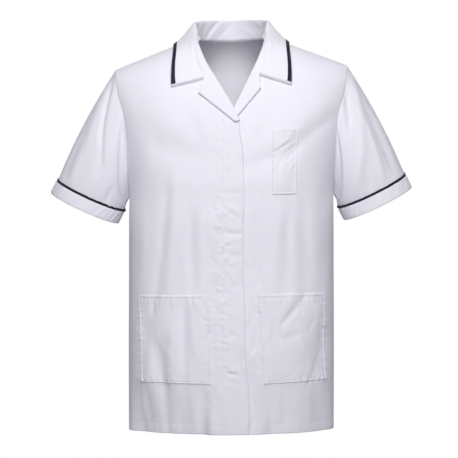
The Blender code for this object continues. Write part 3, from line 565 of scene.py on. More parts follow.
def fly_relief(x, z):
    """Bumps and creases about the fly's stitch line, its lifted edge and the placket's, outwards."""
    total = np.zeros_like(x)
    (above, above_ramp), (below, below_ramp) = FLY_FADE_ABOVE, FLY_FADE_BELOW
    inside = ease((FLY_STITCH_TOP + above - z)/above_ramp)*ease((z - FLY_STITCH_END + below)/below_ramp)
    rng = np.random.default_rng(3)
    for _ in range(FLY_BUMPS):
        place = rng.uniform(FLY_STITCH_END - FLY_BELOW, FLY_STITCH_TOP + FLY_ABOVE)
        aside, slant = rng.normal(FLY_BUMP.aside, FLY_BUMP.spread), rng.uniform(*FLY_BUMP.slant)
        length, width = rng.uniform(*FLY_BUMP.length), rng.uniform(*FLY_BUMP.width)
        dx, dz = x - FLY_STITCH_X - aside, z - place
        total += rng.uniform(*FLY_BUMP.height)*bell(dx, length)*bell(dz + slant*dx, width)
    for crease in FLY_CREASES:
        reach = ease((x - crease.start)/FLY_CREASE_RAMPS[0])*ease((crease.end - x)/FLY_CREASE_RAMPS[1])
        line = z - crease.height - crease.slope*(x - crease.start)
        pillow = bell(line - FLY_PILLOW.place*crease.width, FLY_PILLOW.width*crease.width)
        total -= crease.depth*(bell(line, crease.width) - FLY_PILLOW.height*pillow)*reach
    total += ridge_height(x - FLY_STITCH_X, FLY_GROOVE)
    from_edge = x - read(FLY_EDGE, z)
    wave = 0.5 + 0.5*np.sin(z/0.0105 + 1.7*np.sin(z/0.031))
    lifted = (FLY_EDGE_LIFT + FLY_EDGE_WAVE*wave**2)*bell(from_edge, FLY_EDGE_REACH)
    lifted = lifted*ease((FLY_LIFT_TOP - z)/FLY_LIFT_RAMP)
    lifted += ridge_height(from_edge, FLY_DROP)*ease((FLY_DROP_TOP - z)/FLY_DROP_RAMP)
    placket = ridge_height(x, PLACKET)*ease((z - PLACKET_END)/0.02)*ease((PLACKET_TOP - z)/0.02)
    return inside*(total + placket) + lifted


def hem_relief(x, z, seed):
    """The sewn groove above the hem and the small ripples of the hem itself, outwards."""
    up = z + BACK_LENGTH
    inside = np.exp(-((up - 0.5*BODY_HEM)/(0.75*BODY_HEM))**4)
    ripple = pucker_row(HEM_PUCKER, x, up, HEM_PUCKERS, -0.2, 0.2, seed)
    return ridge_height(up - BODY_HEM, HEM_GROOVE) + inside*ripple


def seam_puckers(x, z, corners, seed):
    """Small puckers of the panel and the patch along a pocket's sewn sides, outwards."""
    total = np.zeros_like(x)
    top_in, top_out, low_out, low_in = corners
    seams = ((top_in, low_in, SIDE_PUCKER), (top_out, low_out, SIDE_PUCKER), (low_in, low_out, FOOT_PUCKER))
    for key, ((x0, z0), (x1, z1), pucker) in enumerate(seams):
        length = math.hypot(x1 - x0, z1 - z0)
        ux, uz = (x1 - x0)/length, (z1 - z0)/length
        along = (x - x0)*ux + (z - z0)*uz
        across = np.abs((x - x0)*uz - (z - z0)*ux)
        row = pucker_row(pucker, along, across, int(length/SEAM_PITCH), 0.0, length, seed + key)
        total += bell(across, SEAM_REACH)*row
    return total


def fine_relief(x, z, face, side):
    """The small relief of a panel, apart from its folds."""
    total = hem_relief(x, z, 21 if face == "front" else 22)
    if face == "front":
        total = total + hem_fall(x, z)
    if face == "front" and side < 0:
        total = total + fly_relief(x, z) + seam_puckers(x, z, HIP_POCKETS["right_hip_pocket"], 31)
    if face == "front" and side > 0:
        total = total + seam_puckers(x, z, HIP_POCKETS["left_hip_pocket"], 41)
        total = total + PEN_PUCKER_SHARE*seam_puckers(x, z, PEN_POCKET, 51)
        within = ease((PEN_LINE_TOP - z)/0.004)*ease((z - PEN_LINE_END)/0.004)
        total = total + ridge_height(x - PEN_LINE_X, PEN_LINE_GROOVE)*within
    return total


def overlap_lift(x, z, side):
    """Outward shift that lets the right front pass over the left one and its lapel."""
    if side == 0:
        return np.zeros_like(x)
    near = 1 - ease((np.abs(x) - 0.5*OVERLAP_HALF)/(0.5*OVERLAP_HALF))
    lift = -side*OVERLAP_LIFT*near
    if side < 0:
        distance = np.hypot(x - V_PLACE[0], z - V_PLACE[1])
        lift = lift + V_LIFT*(1 - ease(distance/V_REACH))
    return lift


def on_body(x, z, face, out=0.0, side=0, fine=True):
    """Points of a body panel's middle layer, moved out by a distance along its normal."""
    x, z = np.asarray(x, float), np.asarray(z, float)
    x, z = np.broadcast_arrays(x, z)
    step = 0.001
    sign = -1 if face == "front" else 1
    y = body_depth(x, z, face)
    slope_x = (body_depth(x + step, z, face) - body_depth(x - step, z, face))/(2*step)
    slope_z = (body_depth(x, z + step, face) - body_depth(x, z - step, face))/(2*step)
    normal = np.stack([-slope_x, sign*np.ones_like(y), -slope_z], -1)
    normal /= np.linalg.norm(normal, axis=-1, keepdims=True)
    relief = fold_height(x, z, face, fine)
    if fine:
        relief = relief + fine_relief(x, z, face, side)
    total = out + ease(y/0.05)*relief + overlap_lift(x, z, side)
    points = np.stack([x, sign*(y + 0.5*SEAM_GAP), z], -1)
    return points + normal*np.asarray(total)[..., None]


def roll_x(z, side):
    """Where a front's roll line lies, for the wearer's right (-1) or left (+1) front."""
    shift = V_SHIFT*ease((-0.045 - z)/0.095)
    return side*read(ROLL, z) + shift


def inner_edge(z, side):
    """A front's inner edge: the roll line down to the break, then the front's own edge."""
    rolled = roll_x(z, side) + side*ROLL_TURN/0.9
    straight = read(FLY_EDGE if side < 0 else HIDDEN_EDGE, z)
    return np.where(z > BREAK, rolled, straight)


def drops():
    """How far below the shoulder line each row of a body panel lies."""
    yoke = [-UNDERARM*(i/YOKE_ROWS)**YOKE_SPREAD for i in range(YOKE_ROWS + 1)]
    skirt = [-UNDERARM + (BACK_LENGTH + UNDERARM)*i/SKIRT_ROWS for i in range(1, SKIRT_ROWS + 1)]
    return np.array(yoke + skirt)


def row_height(x, drop, neck_cut=False):
    """Height of a row at x: it follows the shoulder line at the top and is level at the chest."""
    fade = np.clip(1 - drop/LEVEL_ROWS, 0, 1)
    z = fade*shoulder_line(x) - drop
    if neck_cut:
        cut = np.clip(shoulder_line(x) - shoulder_line(NECK_HALF), 0, None)
        z = z - cut*np.clip(1 - drop/0.15, 0, 1)
    return z


def outer_x(drop):
    """Where a row ends, at the armhole or the side seam."""
    x = SHOULDER_HALF
    if drop >= -UNDERARM - 1e-9:
        return float(read(SECTIONS, -drop, "half_width"))
    for _ in range(30):
        x = float(read(ARMHOLE, row_height(x, drop)))
    return x


def inner_x(drop, side):
    """Where a front's row starts, at its inner edge."""
    x = side*NECK_HALF
    for _ in range(60):
        x = 0.5*x + 0.5*float(inner_edge(np.asarray(row_height(x, drop)), side))
    return x


def spread(points, values, count):
    """Values spread evenly by distance along a line of points."""
    length = np.concatenate([[0], np.cumsum(np.linalg.norm(np.diff(points, axis=0), axis=1))])
    return np.interp(np.linspace(0, length[-1], count), length, values)


def panel_row(start, end, drop, face, side, count):
    """One row of a panel between two places."""
    ends = 0.5 - 0.5*np.cos(np.linspace(0, np.pi, DENSE))
    x = start + (end - start)*ends
    cut = face == "back"
    dense = on_body(x, row_height(x, drop, cut), face, fine=False)
    x = spread(dense, x, count)
    return on_body(x, row_height(x, drop, cut), face, 0.0, side)


def back_points():
    """Grid of the back panel, from shoulder to hem and side to side."""
    return np.array([panel_row(-outer_x(d), outer_x(d), d, "back", 0, BACK_COLUMNS) for d in drops()])


def fly_lip(row):
    """Three points ahead of a right front's row, turned down onto the left front below the V."""
    run = (row[0] - row[1])/np.linalg.norm(row[0] - row[1])
    share = 0.1 + 0.9*float(ease((FLY_LIP_TOP - row[0][2])/0.02))
    return [row[0] + share*(run*out + np.array([0, down, 0])) for out, down in FLY_LIP]


def front_points(side):
    """Grid of one front panel, from shoulder to hem and inner edge to side."""
    rows = [panel_row(inner_x(d, side), side*outer_x(d), d, "front", side, FRONT_COLUMNS) for d in drops()]
    if side < 0:
        rows = [np.concatenate([fly_lip(row), row]) for row in rows]
    return np.array(rows)


def normals_of(points, closed=False):
    """Unit normals of a grid of points."""
    if closed:
        ring = np.concatenate([points[:, -2:-1], points, points[:, 1:2]], axis=1)
        across = np.gradient(ring, axis=1)[:, 1:-1]
    else:
        across = np.gradient(points, axis=1)
    down = np.gradient(points, axis=0)
    normal = np.cross(down, across)
    return normal/np.maximum(np.linalg.norm(normal, axis=-1, keepdims=True), 1e-12)


def roll_frame(z, side):
    """A point on the roll line, the direction across it to the opening, and the outward normal."""
    step = 0.002
    here = on_body(roll_x(z, side), z, "front", 0.0, side, False)
    above = on_body(roll_x(z + step, side), z + step, "front", 0.0, side, False)
    below = on_body(roll_x(z - step, side), z - step, "front", 0.0, side, False)
    lifted = on_body(roll_x(z, side), z, "front", 0.001, side, False)
    normal = (lifted - here)/np.linalg.norm(lifted - here)
    run = (above - below)/np.linalg.norm(above - below)
    across = -side*np.cross(run, normal)
    return here, across/np.linalg.norm(across), normal


def lapel_outline(side, finer):
    """Lapel rows: height on the roll line and the outer corner that faces it, from the break up."""
    low, high = BREAK + LAPEL_FOOT_RISE, GORGE_TOP - LAPEL_TOP_DROP
    top, upper, lower = (station.seam for station in FRONT_STATIONS[:3])
    corners = [(low, (side*float(roll_x(low, side)) + 0.006, low - 0.002)),
               (LAPEL_HEIGHTS["tip"], LAPEL_TIP[side]), (LAPEL_HEIGHTS["notch"], NOTCH[side]),
               (LAPEL_HEIGHTS["gorge"][0], lower), (LAPEL_HEIGHTS["gorge"][1], upper),
               (high, (top[0] - 0.001, top[1] - 0.013)), (LAPEL_HEIGHTS["neck"], LAPEL_NECK)]
    rows = []
    for (z0, p0), (z1, p1), count in zip(corners, corners[1:], LAPEL_ROWS):
        for i in range(count*finer):
            t = i/(count*finer)
            rows.append((z0 + (z1 - z0)*t, p0[0] + (p1[0] - p0[0])*t, p0[1] + (p1[1] - p0[1])*t))
    rows.append((corners[-1][0], *corners[-1][1]))
    return rows


def lapel_points(side, finer=6, turn_steps=10, flat_steps=30):
    """Grid of a lapel: it turns round the roll line and lies just off the front."""
    grid = []
    for z, outer, outer_z in lapel_outline(side, finer):
        amount = (z - BREAK)/(GORGE_TOP - BREAK)
        rise = LAPEL_RISE_LOW + (LAPEL_RISE - LAPEL_RISE_LOW)*ease(amount/0.45)
        radius = rise/2
        here, across, normal = roll_frame(np.asarray(z), side)
        centre = here - across*radius + normal*radius
        row = []
        for i in range(turn_steps + 1):
            angle = -math.pi/2 + math.pi*i/turn_steps
            row.append(centre + radius*(across*math.cos(angle) + normal*math.sin(angle)))
        end_x = side*(outer - SEAM_CLEAR)
        t = np.linspace(0, 1, flat_steps + 1)[1:]
        x, zz = centre[0] + (end_x - centre[0])*t, centre[2] + (outer_z - centre[2])*t
        row.extend(on_body(x, zz, "front", rise + LAPEL_FLARE*t, side, False))
        lip = np.maximum(rise + LAPEL_FLARE - LAPEL_LIP_DOWN, LAPEL_LIP_LEAST)
        run = np.array([x[-1] - x[0], zz[-1] - zz[0]])
        run = run/max(np.linalg.norm(run), 0.002)*(LAPEL_LIP_SHARE if z > LAPEL_LIP_TOP else 1)
        lip_x, lip_z = x[-1] + run[0]*LAPEL_LIP_OUT, zz[-1] + run[1]*LAPEL_LIP_OUT
        row.extend(on_body(lip_x, lip_z, "front", lip, side, False))
        grid.append(row)
    return np.array(grid)


def collar_net(side):
    """Control net of one half of the collar, from the back's middle to the front edge."""
    net = []
    for station in BACK_STATIONS + SIDE_STATIONS:
        seam, roll = np.array(station.seam), np.array(station.roll)
        if len(station.edge) == 2:
            edge = on_body(station.edge[0], station.edge[1], "back", COLLAR_LIFT, fine=False)
        else:
            edge = np.array(station.edge)
        away = edge - seam
        away[2] = 0.3*np.linalg.norm(away)
        away /= np.linalg.norm(away)
        first, second = (roll + share*(edge - roll) for share in FALL_SHARES)
        net.append([seam, 0.5*(seam + roll), roll, first + FALL_BULGE*away, second + FALL_BULGE*away, edge])
    for station in FRONT_STATIONS:
        seam = np.array(station.seam or (NOTCH[side][0], NOTCH[side][1]))
        edge = np.array(station.edge)
        seam = seam + (edge - seam)*SEAM_CLEAR/np.linalg.norm(edge - seam)
        row = []
        for t in NET_COLUMNS:
            x, z = seam + (edge - seam)*t
            row.append(on_body(x, z, "front", LAPEL_RISE + 0.0006 + (COLLAR_LIFT - LAPEL_RISE)*t, 0, False))
        net.append(row)
    net = np.array(net)
    net[..., 0] *= side
    return net


def wrinkle_height(along, across):
    """Height of the collar's wrinkles, out of its upper side."""
    total = np.zeros(np.broadcast(along, across).shape)
    for wrinkle in WRINKLES:
        (a0, b0), (a1, b1) = wrinkle.start, wrinkle.end
        length = math.hypot(a1 - a0, b1 - b0)
        ua, ub = (a1 - a0)/length, (b1 - b0)/length
        down = ((along - a0)*ua + (across - b0)*ub)/length
        aside = ((along - a0)*ub - (across - b0)*ua)/wrinkle.width
        total = total + wrinkle.height*bell(aside, 1)*np.exp(-(2.1*(down - 0.5))**4)
    return total


def collar_surface(along, across, out=0.0):
    """Points of the collar; along runs from -1 to 1 and across from the seam (0) to the edge (1)."""
    keys = column(BACK_STATIONS + SIDE_STATIONS + FRONT_STATIONS, "along")
    net = np.concatenate([collar_net(-1)[:0:-1], collar_net(1)])
    keys = np.concatenate([-keys[:0:-1], keys])
    rows = smooth(along, keys, net)
    points = np.array([smooth(across, NET_COLUMNS, row) for row in rows])
    out = out + wrinkle_height(np.asarray(along)[:, None], np.asarray(across)[None, :])
    return points + normals_of(points)*out[..., None]


def close_collar(points):
    """Adds the collar's lips: its front edges turn down to the body, its seam out to the back panel."""
    normal = normals_of(points)
    run, end = points[0] - points[2], points[-1] - points[-3]
    run, end = (way/np.linalg.norm(way, axis=1, keepdims=True) for way in (run, end))
    lip = [points[0] - normal[0]*down + run*out for down, out in COLLAR_LIPS]
    other = [points[-1] - normal[-1]*down + end*out for down, out in COLLAR_LIPS[::-1]]
    grid = np.concatenate([np.array(lip), points, np.array(other)])
    seam = grid[:, 0]
    outwards = seam*(1, 1, 0)/np.linalg.norm(seam[:, :2], axis=1, keepdims=True)
    behind = ease((seam[:, 1:2] + 0.01)/0.03)
    tuck = [seam + behind*(outwards*out - np.array([0, 0, down])) for out, down in COLLAR_TUCKS]
    return np.concatenate([np.stack(tuck, axis=1), grid], axis=1)


def cuff_ring(side, up, proud, count=SLEEVE_ROUND):
    """A ring round the sleeve, a distance up from the cuff's end and proud of the sleeve."""
    axis = np.array([side*math.sin(SLEEVE_ANGLE), 0, -math.cos(SLEEVE_ANGLE)])
    outer = np.array([side*math.cos(SLEEVE_ANGLE), 0, math.sin(SLEEVE_ANGLE)])
    front = np.array([0, -1, 0])*math.cos(CUFF_TILT) + axis*math.sin(CUFF_TILT)
    centre = np.array(CUFF_END)*(side, 1, 1) - axis*up
    angle = np.linspace(0, 2*np.pi, count + 1)[:, None]
    wide, deep = CUFF_HALF_WIDTH + proud, CUFF_HALF_DEPTH + proud
    return centre + outer*wide*np.cos(angle) + front*deep*np.sin(angle)


def sleeve_rings(side):
    """The armhole loop and the ring at the cuff's top, matched point by point."""
    depth = -UNDERARM*(0.5 - 0.5*np.cos(np.linspace(0, np.pi, DENSE)))**1.4
    x = np.array([outer_x(min(d, -UNDERARM - 1e-6)) for d in depth])
    z = row_height(x, depth)
    front = on_body(side*x, z, "front", fine=False)
    back = on_body(side*x, z, "back", fine=False)
    loop = np.concatenate([front, back[::-1]])
    length = np.concatenate([[0], np.cumsum(np.linalg.norm(np.diff(loop, axis=0), axis=1))])
    even = np.linspace(0, length[-1], SLEEVE_ROUND + 1)
    loop = np.stack([np.interp(even, length, loop[:, i]) for i in range(3)], -1)
    loop[0, 1] = loop[-1, 1] = 0
    return loop, cuff_ring(side, CUFF_BAND, 0.0)


def sleeve_relief(turn, down, side):
    """Height of a sleeve's folds, and of the puckers above the cuff and below the armhole seam."""
    height = np.zeros(np.broadcast(turn, down).shape)
    for fold in SLEEVE_FOLDS[side]:
        along = (down - fold.start)/(fold.end - fold.start)
        centre = fold.turn + (fold.turn_end - fold.turn)*along
        across = (turn - centre)/fold.width
        height = height + fold.height*bell(across, 1)*np.exp(-(2.0*(along - 0.5))**4)
    for step in SLEEVE_STEPS[side]:
        along = (down - step.start)/(step.end - step.start)
        past = turn - step.turn - (step.turn_end - step.turn)*along
        fade = bell(np.maximum(past - step.width, 0), STEP_FADE)*np.exp(-(2.0*(along - 0.5))**6)
        height = height + step.height*ease(past/step.width)*fade*ease((1 - down)/STEP_FADE_CUFF)
    height = height*ease(down/SLEEVE_FADE_TOP)*ease((1 - down)/SLEEVE_FADE_CUFF)
    near_cuff = bell(1 - down, 0.06)*ease((1 - down)/0.01)
    return height + near_cuff*pucker_row(SLEEVE_PUCKER, turn, down, SLEEVE_PUCKERS, 0.0, 1.0, 61 + side)


def sleeve_points(side):
    """Grid of a sleeve, from the armhole seam to just inside the cuff."""
    loop, end = sleeve_rings(side)
    turn = np.linspace(0, 1, SLEEVE_ROUND + 1)
    under = np.clip(-np.cos(2*np.pi*turn), 0, 1)**2
    outwards = end - end[:-1].mean(axis=0)
    outwards /= np.linalg.norm(outwards, axis=1, keepdims=True)
    control = 0.5*(loop + end) + 2*SLEEVE_BOW*outwards*(1 - under)[:, None]
    control[:, 2] += UNDERARM_RISE*under
    tangent = np.gradient(loop, axis=0)
    tangent[0] = tangent[-1] = loop[1] - loop[-2]
    tangent /= np.linalg.norm(tangent, axis=1, keepdims=True)
    leave = control - loop
    leave -= tangent*np.sum(leave*tangent, axis=1, keepdims=True)
    leave /= np.linalg.norm(leave, axis=1, keepdims=True)
    inwards = loop[:-1].mean(axis=0) - loop
    inwards /= np.linalg.norm(inwards, axis=1, keepdims=True)
    start = loop + leave*SLEEVE_START + inwards*SLEEVE_UNDER
    t = np.linspace(0, 1, SLEEVE_ROWS)[:, None, None]
    grid = (1 - t)**2*start + 2*t*(1 - t)*control + t**2*end
    height = sleeve_relief(turn[None, :], t[..., 0], side)
    grid = grid - normals_of(grid, True)*side*height[..., None]
    return np.concatenate([grid, cuff_ring(side, CUFF_BAND - CUFF_TUCK, 0.0)[None]])


def piping_points(side, rings=5):
    """Rings of the piping on the sleeve, just above the cuff, slightly round."""
    sleeve = sleeve_points(side)
    end, above = sleeve[-2], sleeve[-4]
    up = (above - end)/np.linalg.norm(above - end, axis=1, keepdims=True)
    outwards = end - end[:-1].mean(axis=0)
    outwards -= up*np.sum(outwards*up, axis=1, keepdims=True)
    outwards /= np.linalg.norm(outwards, axis=1, keepdims=True)
    grid = []
    for t in np.linspace(1, 0, rings):
        crown = 0.0003*math.sin(math.pi*t)
        grid.append(end + up*(SEAM_GAP + PIPING_HEIGHT*t) + outwards*(PIPING_PROUD + crown))
    return np.array(grid)


def cuff_points(side, rings=12):
    """Rings of the turned cuff, with a soft fold at its end and small ripples."""
    turn = np.linspace(0, 1, SLEEVE_ROUND + 1)
    grid = []
    for t in np.linspace(0, 1, rings):
        up, lean = (CUFF_BAND - CUFF_TRIM)*(1 - t), side*(t - 0.5)
        ring, outer = cuff_ring(side, up, CUFF_PROUD), cuff_ring(side, up, CUFF_PROUD + 0.001)
        ripple = pucker_row(CUFF_PUCKER, turn - CUFF_LEAN*lean, -lean, CUFF_WRINKLES, 0.0, 1.0, 71 + side)
        ripple = ripple*ease(t/0.12)*ease((1 - t)/0.15)
        grid.append(ring + (outer - ring)/0.001*ripple[:, None])
    return np.array(grid)


def between_corners(corners, v, u):
    """Places in the front view between four corners, top inner, top outer, bottom outer, bottom inner."""
    top_in, top_out, low_out, low_in = corners
    flat = [(1 - v)*((1 - u)*top_in[i] + u*top_out[i]) + v*((1 - u)*low_in[i] + u*low_out[i]) for i in (0, 1)]
    return flat[0], flat[1]


def pocket_lift(corners, v, u, hem, seed):
    """How far a pocket lies off its panel: sewn down at sides and foot, slightly full between them."""
    width = abs(corners[1][0] - corners[0][0])
    depth = abs(corners[3][1] - corners[0][1])
    down, aside = v*depth, u*width
    from_seam = np.minimum(np.minimum(u, 1 - u)*width, (1 - v)*depth)
    lift = POCKET_LIFT + ridge_height(from_seam, POCKET_SIDE_RIDGES)
    lift = lift + POCKET_PUFF*ease((from_seam - 0.003)/0.016)
    lift = lift + ridge_height(down - hem, POCKET_HEM_RIDGES) + ridge_height(down, POCKET_TOP_GROOVE)
    lift = lift + ridge_height(down, POCKET_MOUTH_ROLL)*ease(from_seam/0.01)
    band = np.exp(-((down - 0.5*hem)/(0.75*hem))**4)*ease(from_seam/0.006)
    lift = lift + band*pucker_row(MOUTH_PUCKER, aside, down, int(width/MOUTH_PITCH), 0.0, width, seed)
    up, count = depth - down, int(width/FOOT_PITCH)
    foot = bell(up - 0.005, 0.006)
    return lift + foot*pucker_row(POCKET_FOOT_PUCKER, aside, up, count, 0.0, width, seed + 5)


def pocket_at(corners, side, v, u, hem, seed, out=0.0):
    """Points of a pocket at places down (v) and across (u) it."""
    x, z = between_corners(corners, v, u)
    return on_body(x, z, "front", pocket_lift(corners, v, u, hem, seed) + out, side)


def pocket_points(corners, side, rows, columns, hem, seed):
    """Grid of a patch pocket, finer towards its edges."""
    v = 0.55*np.linspace(0, 1, rows) + 0.45*(0.5 - 0.5*np.cos(np.linspace(0, np.pi, rows)))
    u = 0.55*np.linspace(0, 1, columns) + 0.45*(0.5 - 0.5*np.cos(np.linspace(0, np.pi, columns)))
    return pocket_at(corners, side, v[:, None], u[None, :], hem, seed)


def hang(points):
    """The finished place of a point: one shoulder sits a little higher than the other."""
    points = np.array(points, float)
    lean = LEAN_TOP + (LEAN_HEM - LEAN_TOP)*np.clip(-points[..., 2]/BACK_LENGTH, 0, 1)
    points[..., 2] += lean*points[..., 0]
    return points


def cloth_lengths(points):
    """Distances along and down a grid of points, in metres, for the weave to follow."""
    across = np.linalg.norm(np.diff(points, axis=1), axis=2)
    down = np.linalg.norm(np.diff(points, axis=0), axis=2)
    u = np.concatenate([np.zeros((points.shape[0], 1)), np.cumsum(across, axis=1)], axis=1)
    v = np.concatenate([np.zeros((1, points.shape[1])), np.cumsum(down, axis=0)], axis=0)
    middle = points.shape[1]//2
    return u - u[:, middle:middle + 1], v


def sheet_mesh(name, points, material, wall, tube=False, turn_out=False):
    """A thin wall of cloth through a grid of points, with a UV map in metres."""
    placed = hang(points)
    rows, columns = placed.shape[:2]
    index = np.arange(rows*columns).reshape(rows, columns)
    faces = np.stack([index[:-1, :-1], index[1:, :-1], index[1:, 1:], index[:-1, 1:]], -1).reshape(-1, 4)
    if turn_out:
        faces = faces[:, ::-1]
    mesh = bpy.data.meshes.new(name)
    mesh.from_pydata(placed.reshape(-1, 3).tolist(), [], faces.tolist())
    u, v = cloth_lengths(placed)
    uv = mesh.uv_layers.new(name="cloth")
    flat = np.stack([u.ravel(), v.ravel()], -1)[faces.ravel()]
    uv.data.foreach_set("uv", flat.astype(np.float32).ravel())
    if tube:
        shape = bmesh.new()
        shape.from_mesh(mesh)
        bmesh.ops.remove_doubles(shape, verts=shape.verts, dist=1e-5)
        shape.to_mesh(mesh)
        shape.free()
    mesh.shade_smooth()
    mesh.materials.append(material)
    thing = bpy.data.objects.new(name, mesh)
    bpy.context.scene.collection.objects.link(thing)
    solidify = thing.modifiers.new("Wall", "SOLIDIFY")
    solidify.thickness = wall
    solidify.offset = 0
    return thing


def dress(thing, node):
    """Hangs a piece of cloth from the root and hides the CAD part of the node it stands for."""
    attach(thing, "root")
    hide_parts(node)


def new_group(name, inputs, outputs):
    """An empty shader node group with named sockets."""
    group = bpy.data.node_groups.new(name, "ShaderNodeTree")
    for label, kind, value in inputs:
        socket = group.interface.new_socket(label, in_out="INPUT", socket_type=kind)
        socket.default_value = value
    for label, kind in outputs:
        group.interface.new_socket(label, in_out="OUTPUT", socket_type=kind)
    return group, group.nodes.new("NodeGroupInput"), group.nodes.new("NodeGroupOutput")


def add_node(tree, kind, inputs=None, **settings):
    """A node with settings, whose inputs take values or are linked to other nodes' outputs."""
    node = tree.nodes.new(kind)
    for name, value in settings.items():
        setattr(node, name, value)
    for key, value in (inputs or {}).items():
        if isinstance(value, bpy.types.NodeSocket):
            tree.links.new(value, node.inputs[key])
        else:
            node.inputs[key].default_value = value
    return node


def math_node(tree, operation, first, *second):
    """The output of a Math node whose inputs are sockets or numbers."""
    return add_node(tree, "ShaderNodeMath", dict(enumerate((first, *second))), operation=operation).outputs[0]


def colour_mix(tree, share, first, second):
    """The output of a mix of two colours, each a colour or a socket."""
    inputs = {"A": first, "B": second, "Factor": share}
    return add_node(tree, "ShaderNodeMix", inputs, data_type="RGBA").outputs["Result"]


def woven_group():
    """Height and shade of a fine woven cloth: crossing threads, slubs and soft handling marks."""
    name = "woven cloth"
    if name in bpy.data.node_groups:
        return bpy.data.node_groups[name]
    group, given, put = new_group(
        name,
        [("Vector", "NodeSocketVector", (0, 0, 0)), ("Thread", "NodeSocketFloat", 0.0005),
         ("Slub", "NodeSocketFloat", 0.5), ("Marks", "NodeSocketFloat", 0.5)],
        [("Height", "NodeSocketFloat"), ("Shade", "NodeSocketFloat")])
    place = given.outputs["Vector"]
    split = add_node(group, "ShaderNodeSeparateXYZ", {0: place})
    waves = []
    for axis in ("X", "Y"):
        turns = math_node(group, "DIVIDE", split.outputs[axis], given.outputs["Thread"])
        waves.append(math_node(group, "SINE", math_node(group, "MULTIPLY", turns, 2*math.pi)))
    weave = math_node(group, "MULTIPLY", *waves)
    slub = add_node(group, "ShaderNodeTexNoise", {"Vector": place, "Scale": 420, "Detail": 3})
    marks = add_node(group, "ShaderNodeTexNoise", {"Vector": place, "Scale": 16, "Detail": 4,
                                                   "Roughness": 0.55})
    fine = math_node(group, "MULTIPLY", weave, 0.5)
    uneven = math_node(group, "MULTIPLY", slub.outputs["Fac"], given.outputs["Slub"])
    soft = math_node(group, "MULTIPLY", marks.outputs["Fac"], given.outputs["Marks"])
    group.links.new(math_node(group, "ADD", fine, uneven), put.inputs["Height"])
    shade = math_node(group, "ADD", soft, math_node(group, "MULTIPLY", uneven, 0.25))
    group.links.new(shade, put.inputs["Shade"])
    return group


def new_material(name):
    """A material with nodes, its tree and its shader."""
    material = bpy.data.materials.new(name)
    material.use_nodes = True
    return material, material.node_tree, material.node_tree.nodes["Principled BSDF"]


def cloth_material(name, light, dark, thread, roughness, sheen, bump):
    """A woven finish between two close colours."""
    if name in bpy.data.materials:
        return bpy.data.materials[name]
    material, tree, shader = new_material(name)
    shader.inputs["Sheen Weight"].default_value = sheen
    shader.inputs["Sheen Roughness"].default_value = 0.5
    shader.inputs["Specular IOR Level"].default_value = 0.25
    uv = add_node(tree, "ShaderNodeUVMap", uv_map="cloth")
    woven = tree.nodes.new("ShaderNodeGroup")
    woven.node_tree = woven_group()
    woven.inputs["Thread"].default_value = thread
    tree.links.new(uv.outputs["UV"], woven.inputs["Vector"])
    shade = woven.outputs["Shade"]
    tree.links.new(colour_mix(tree, shade, (*light, 1), (*dark, 1)), shader.inputs["Base Color"])
    ends = {"Value": shade, "To Min": roughness - 0.06, "To Max": roughness + 0.06}
    rough = add_node(tree, "ShaderNodeMapRange", ends)
    tree.links.new(rough.outputs["Result"], shader.inputs["Roughness"])
    bumps = {"Height": woven.outputs["Height"], "Strength": bump, "Distance": 0.0002}
    relief = add_node(tree, "ShaderNodeBump", bumps)
    tree.links.new(relief.outputs["Normal"], shader.inputs["Normal"])
    return material


def white_cloth():
    """White polycotton."""
    colour = colours()
    return cloth_material("polycotton", colour.cloth_light, colour.cloth_dark, 0.0005, 0.82, 0.12, 0.22)


def navy_cloth():
    """Dark braid and piping."""
    colour = colours()
    return cloth_material("braid", colour.trim_light, colour.trim_dark, 0.0009, 0.75, 0.05, 0.5)


def thread_material():
    """White sewing thread."""
    name = "thread"
    if name in bpy.data.materials:
        return bpy.data.materials[name]
    material, tree, shader = new_material(name)
    shader.inputs["Specular IOR Level"].default_value = 0.4
    shader.inputs["Roughness"].default_value = 0.6
    place = tree.nodes.new("ShaderNodeTexCoord")
    ply = add_node(tree, "ShaderNodeTexWave", {"Vector": place.outputs["Object"], "Scale": 900,
                                               "Distortion": 2})
    light, dark = (*colours().cloth_light, 1), (*colours().cloth_dark, 1)
    tree.links.new(colour_mix(tree, ply.outputs["Fac"], light, dark), shader.inputs["Base Color"])
    return material


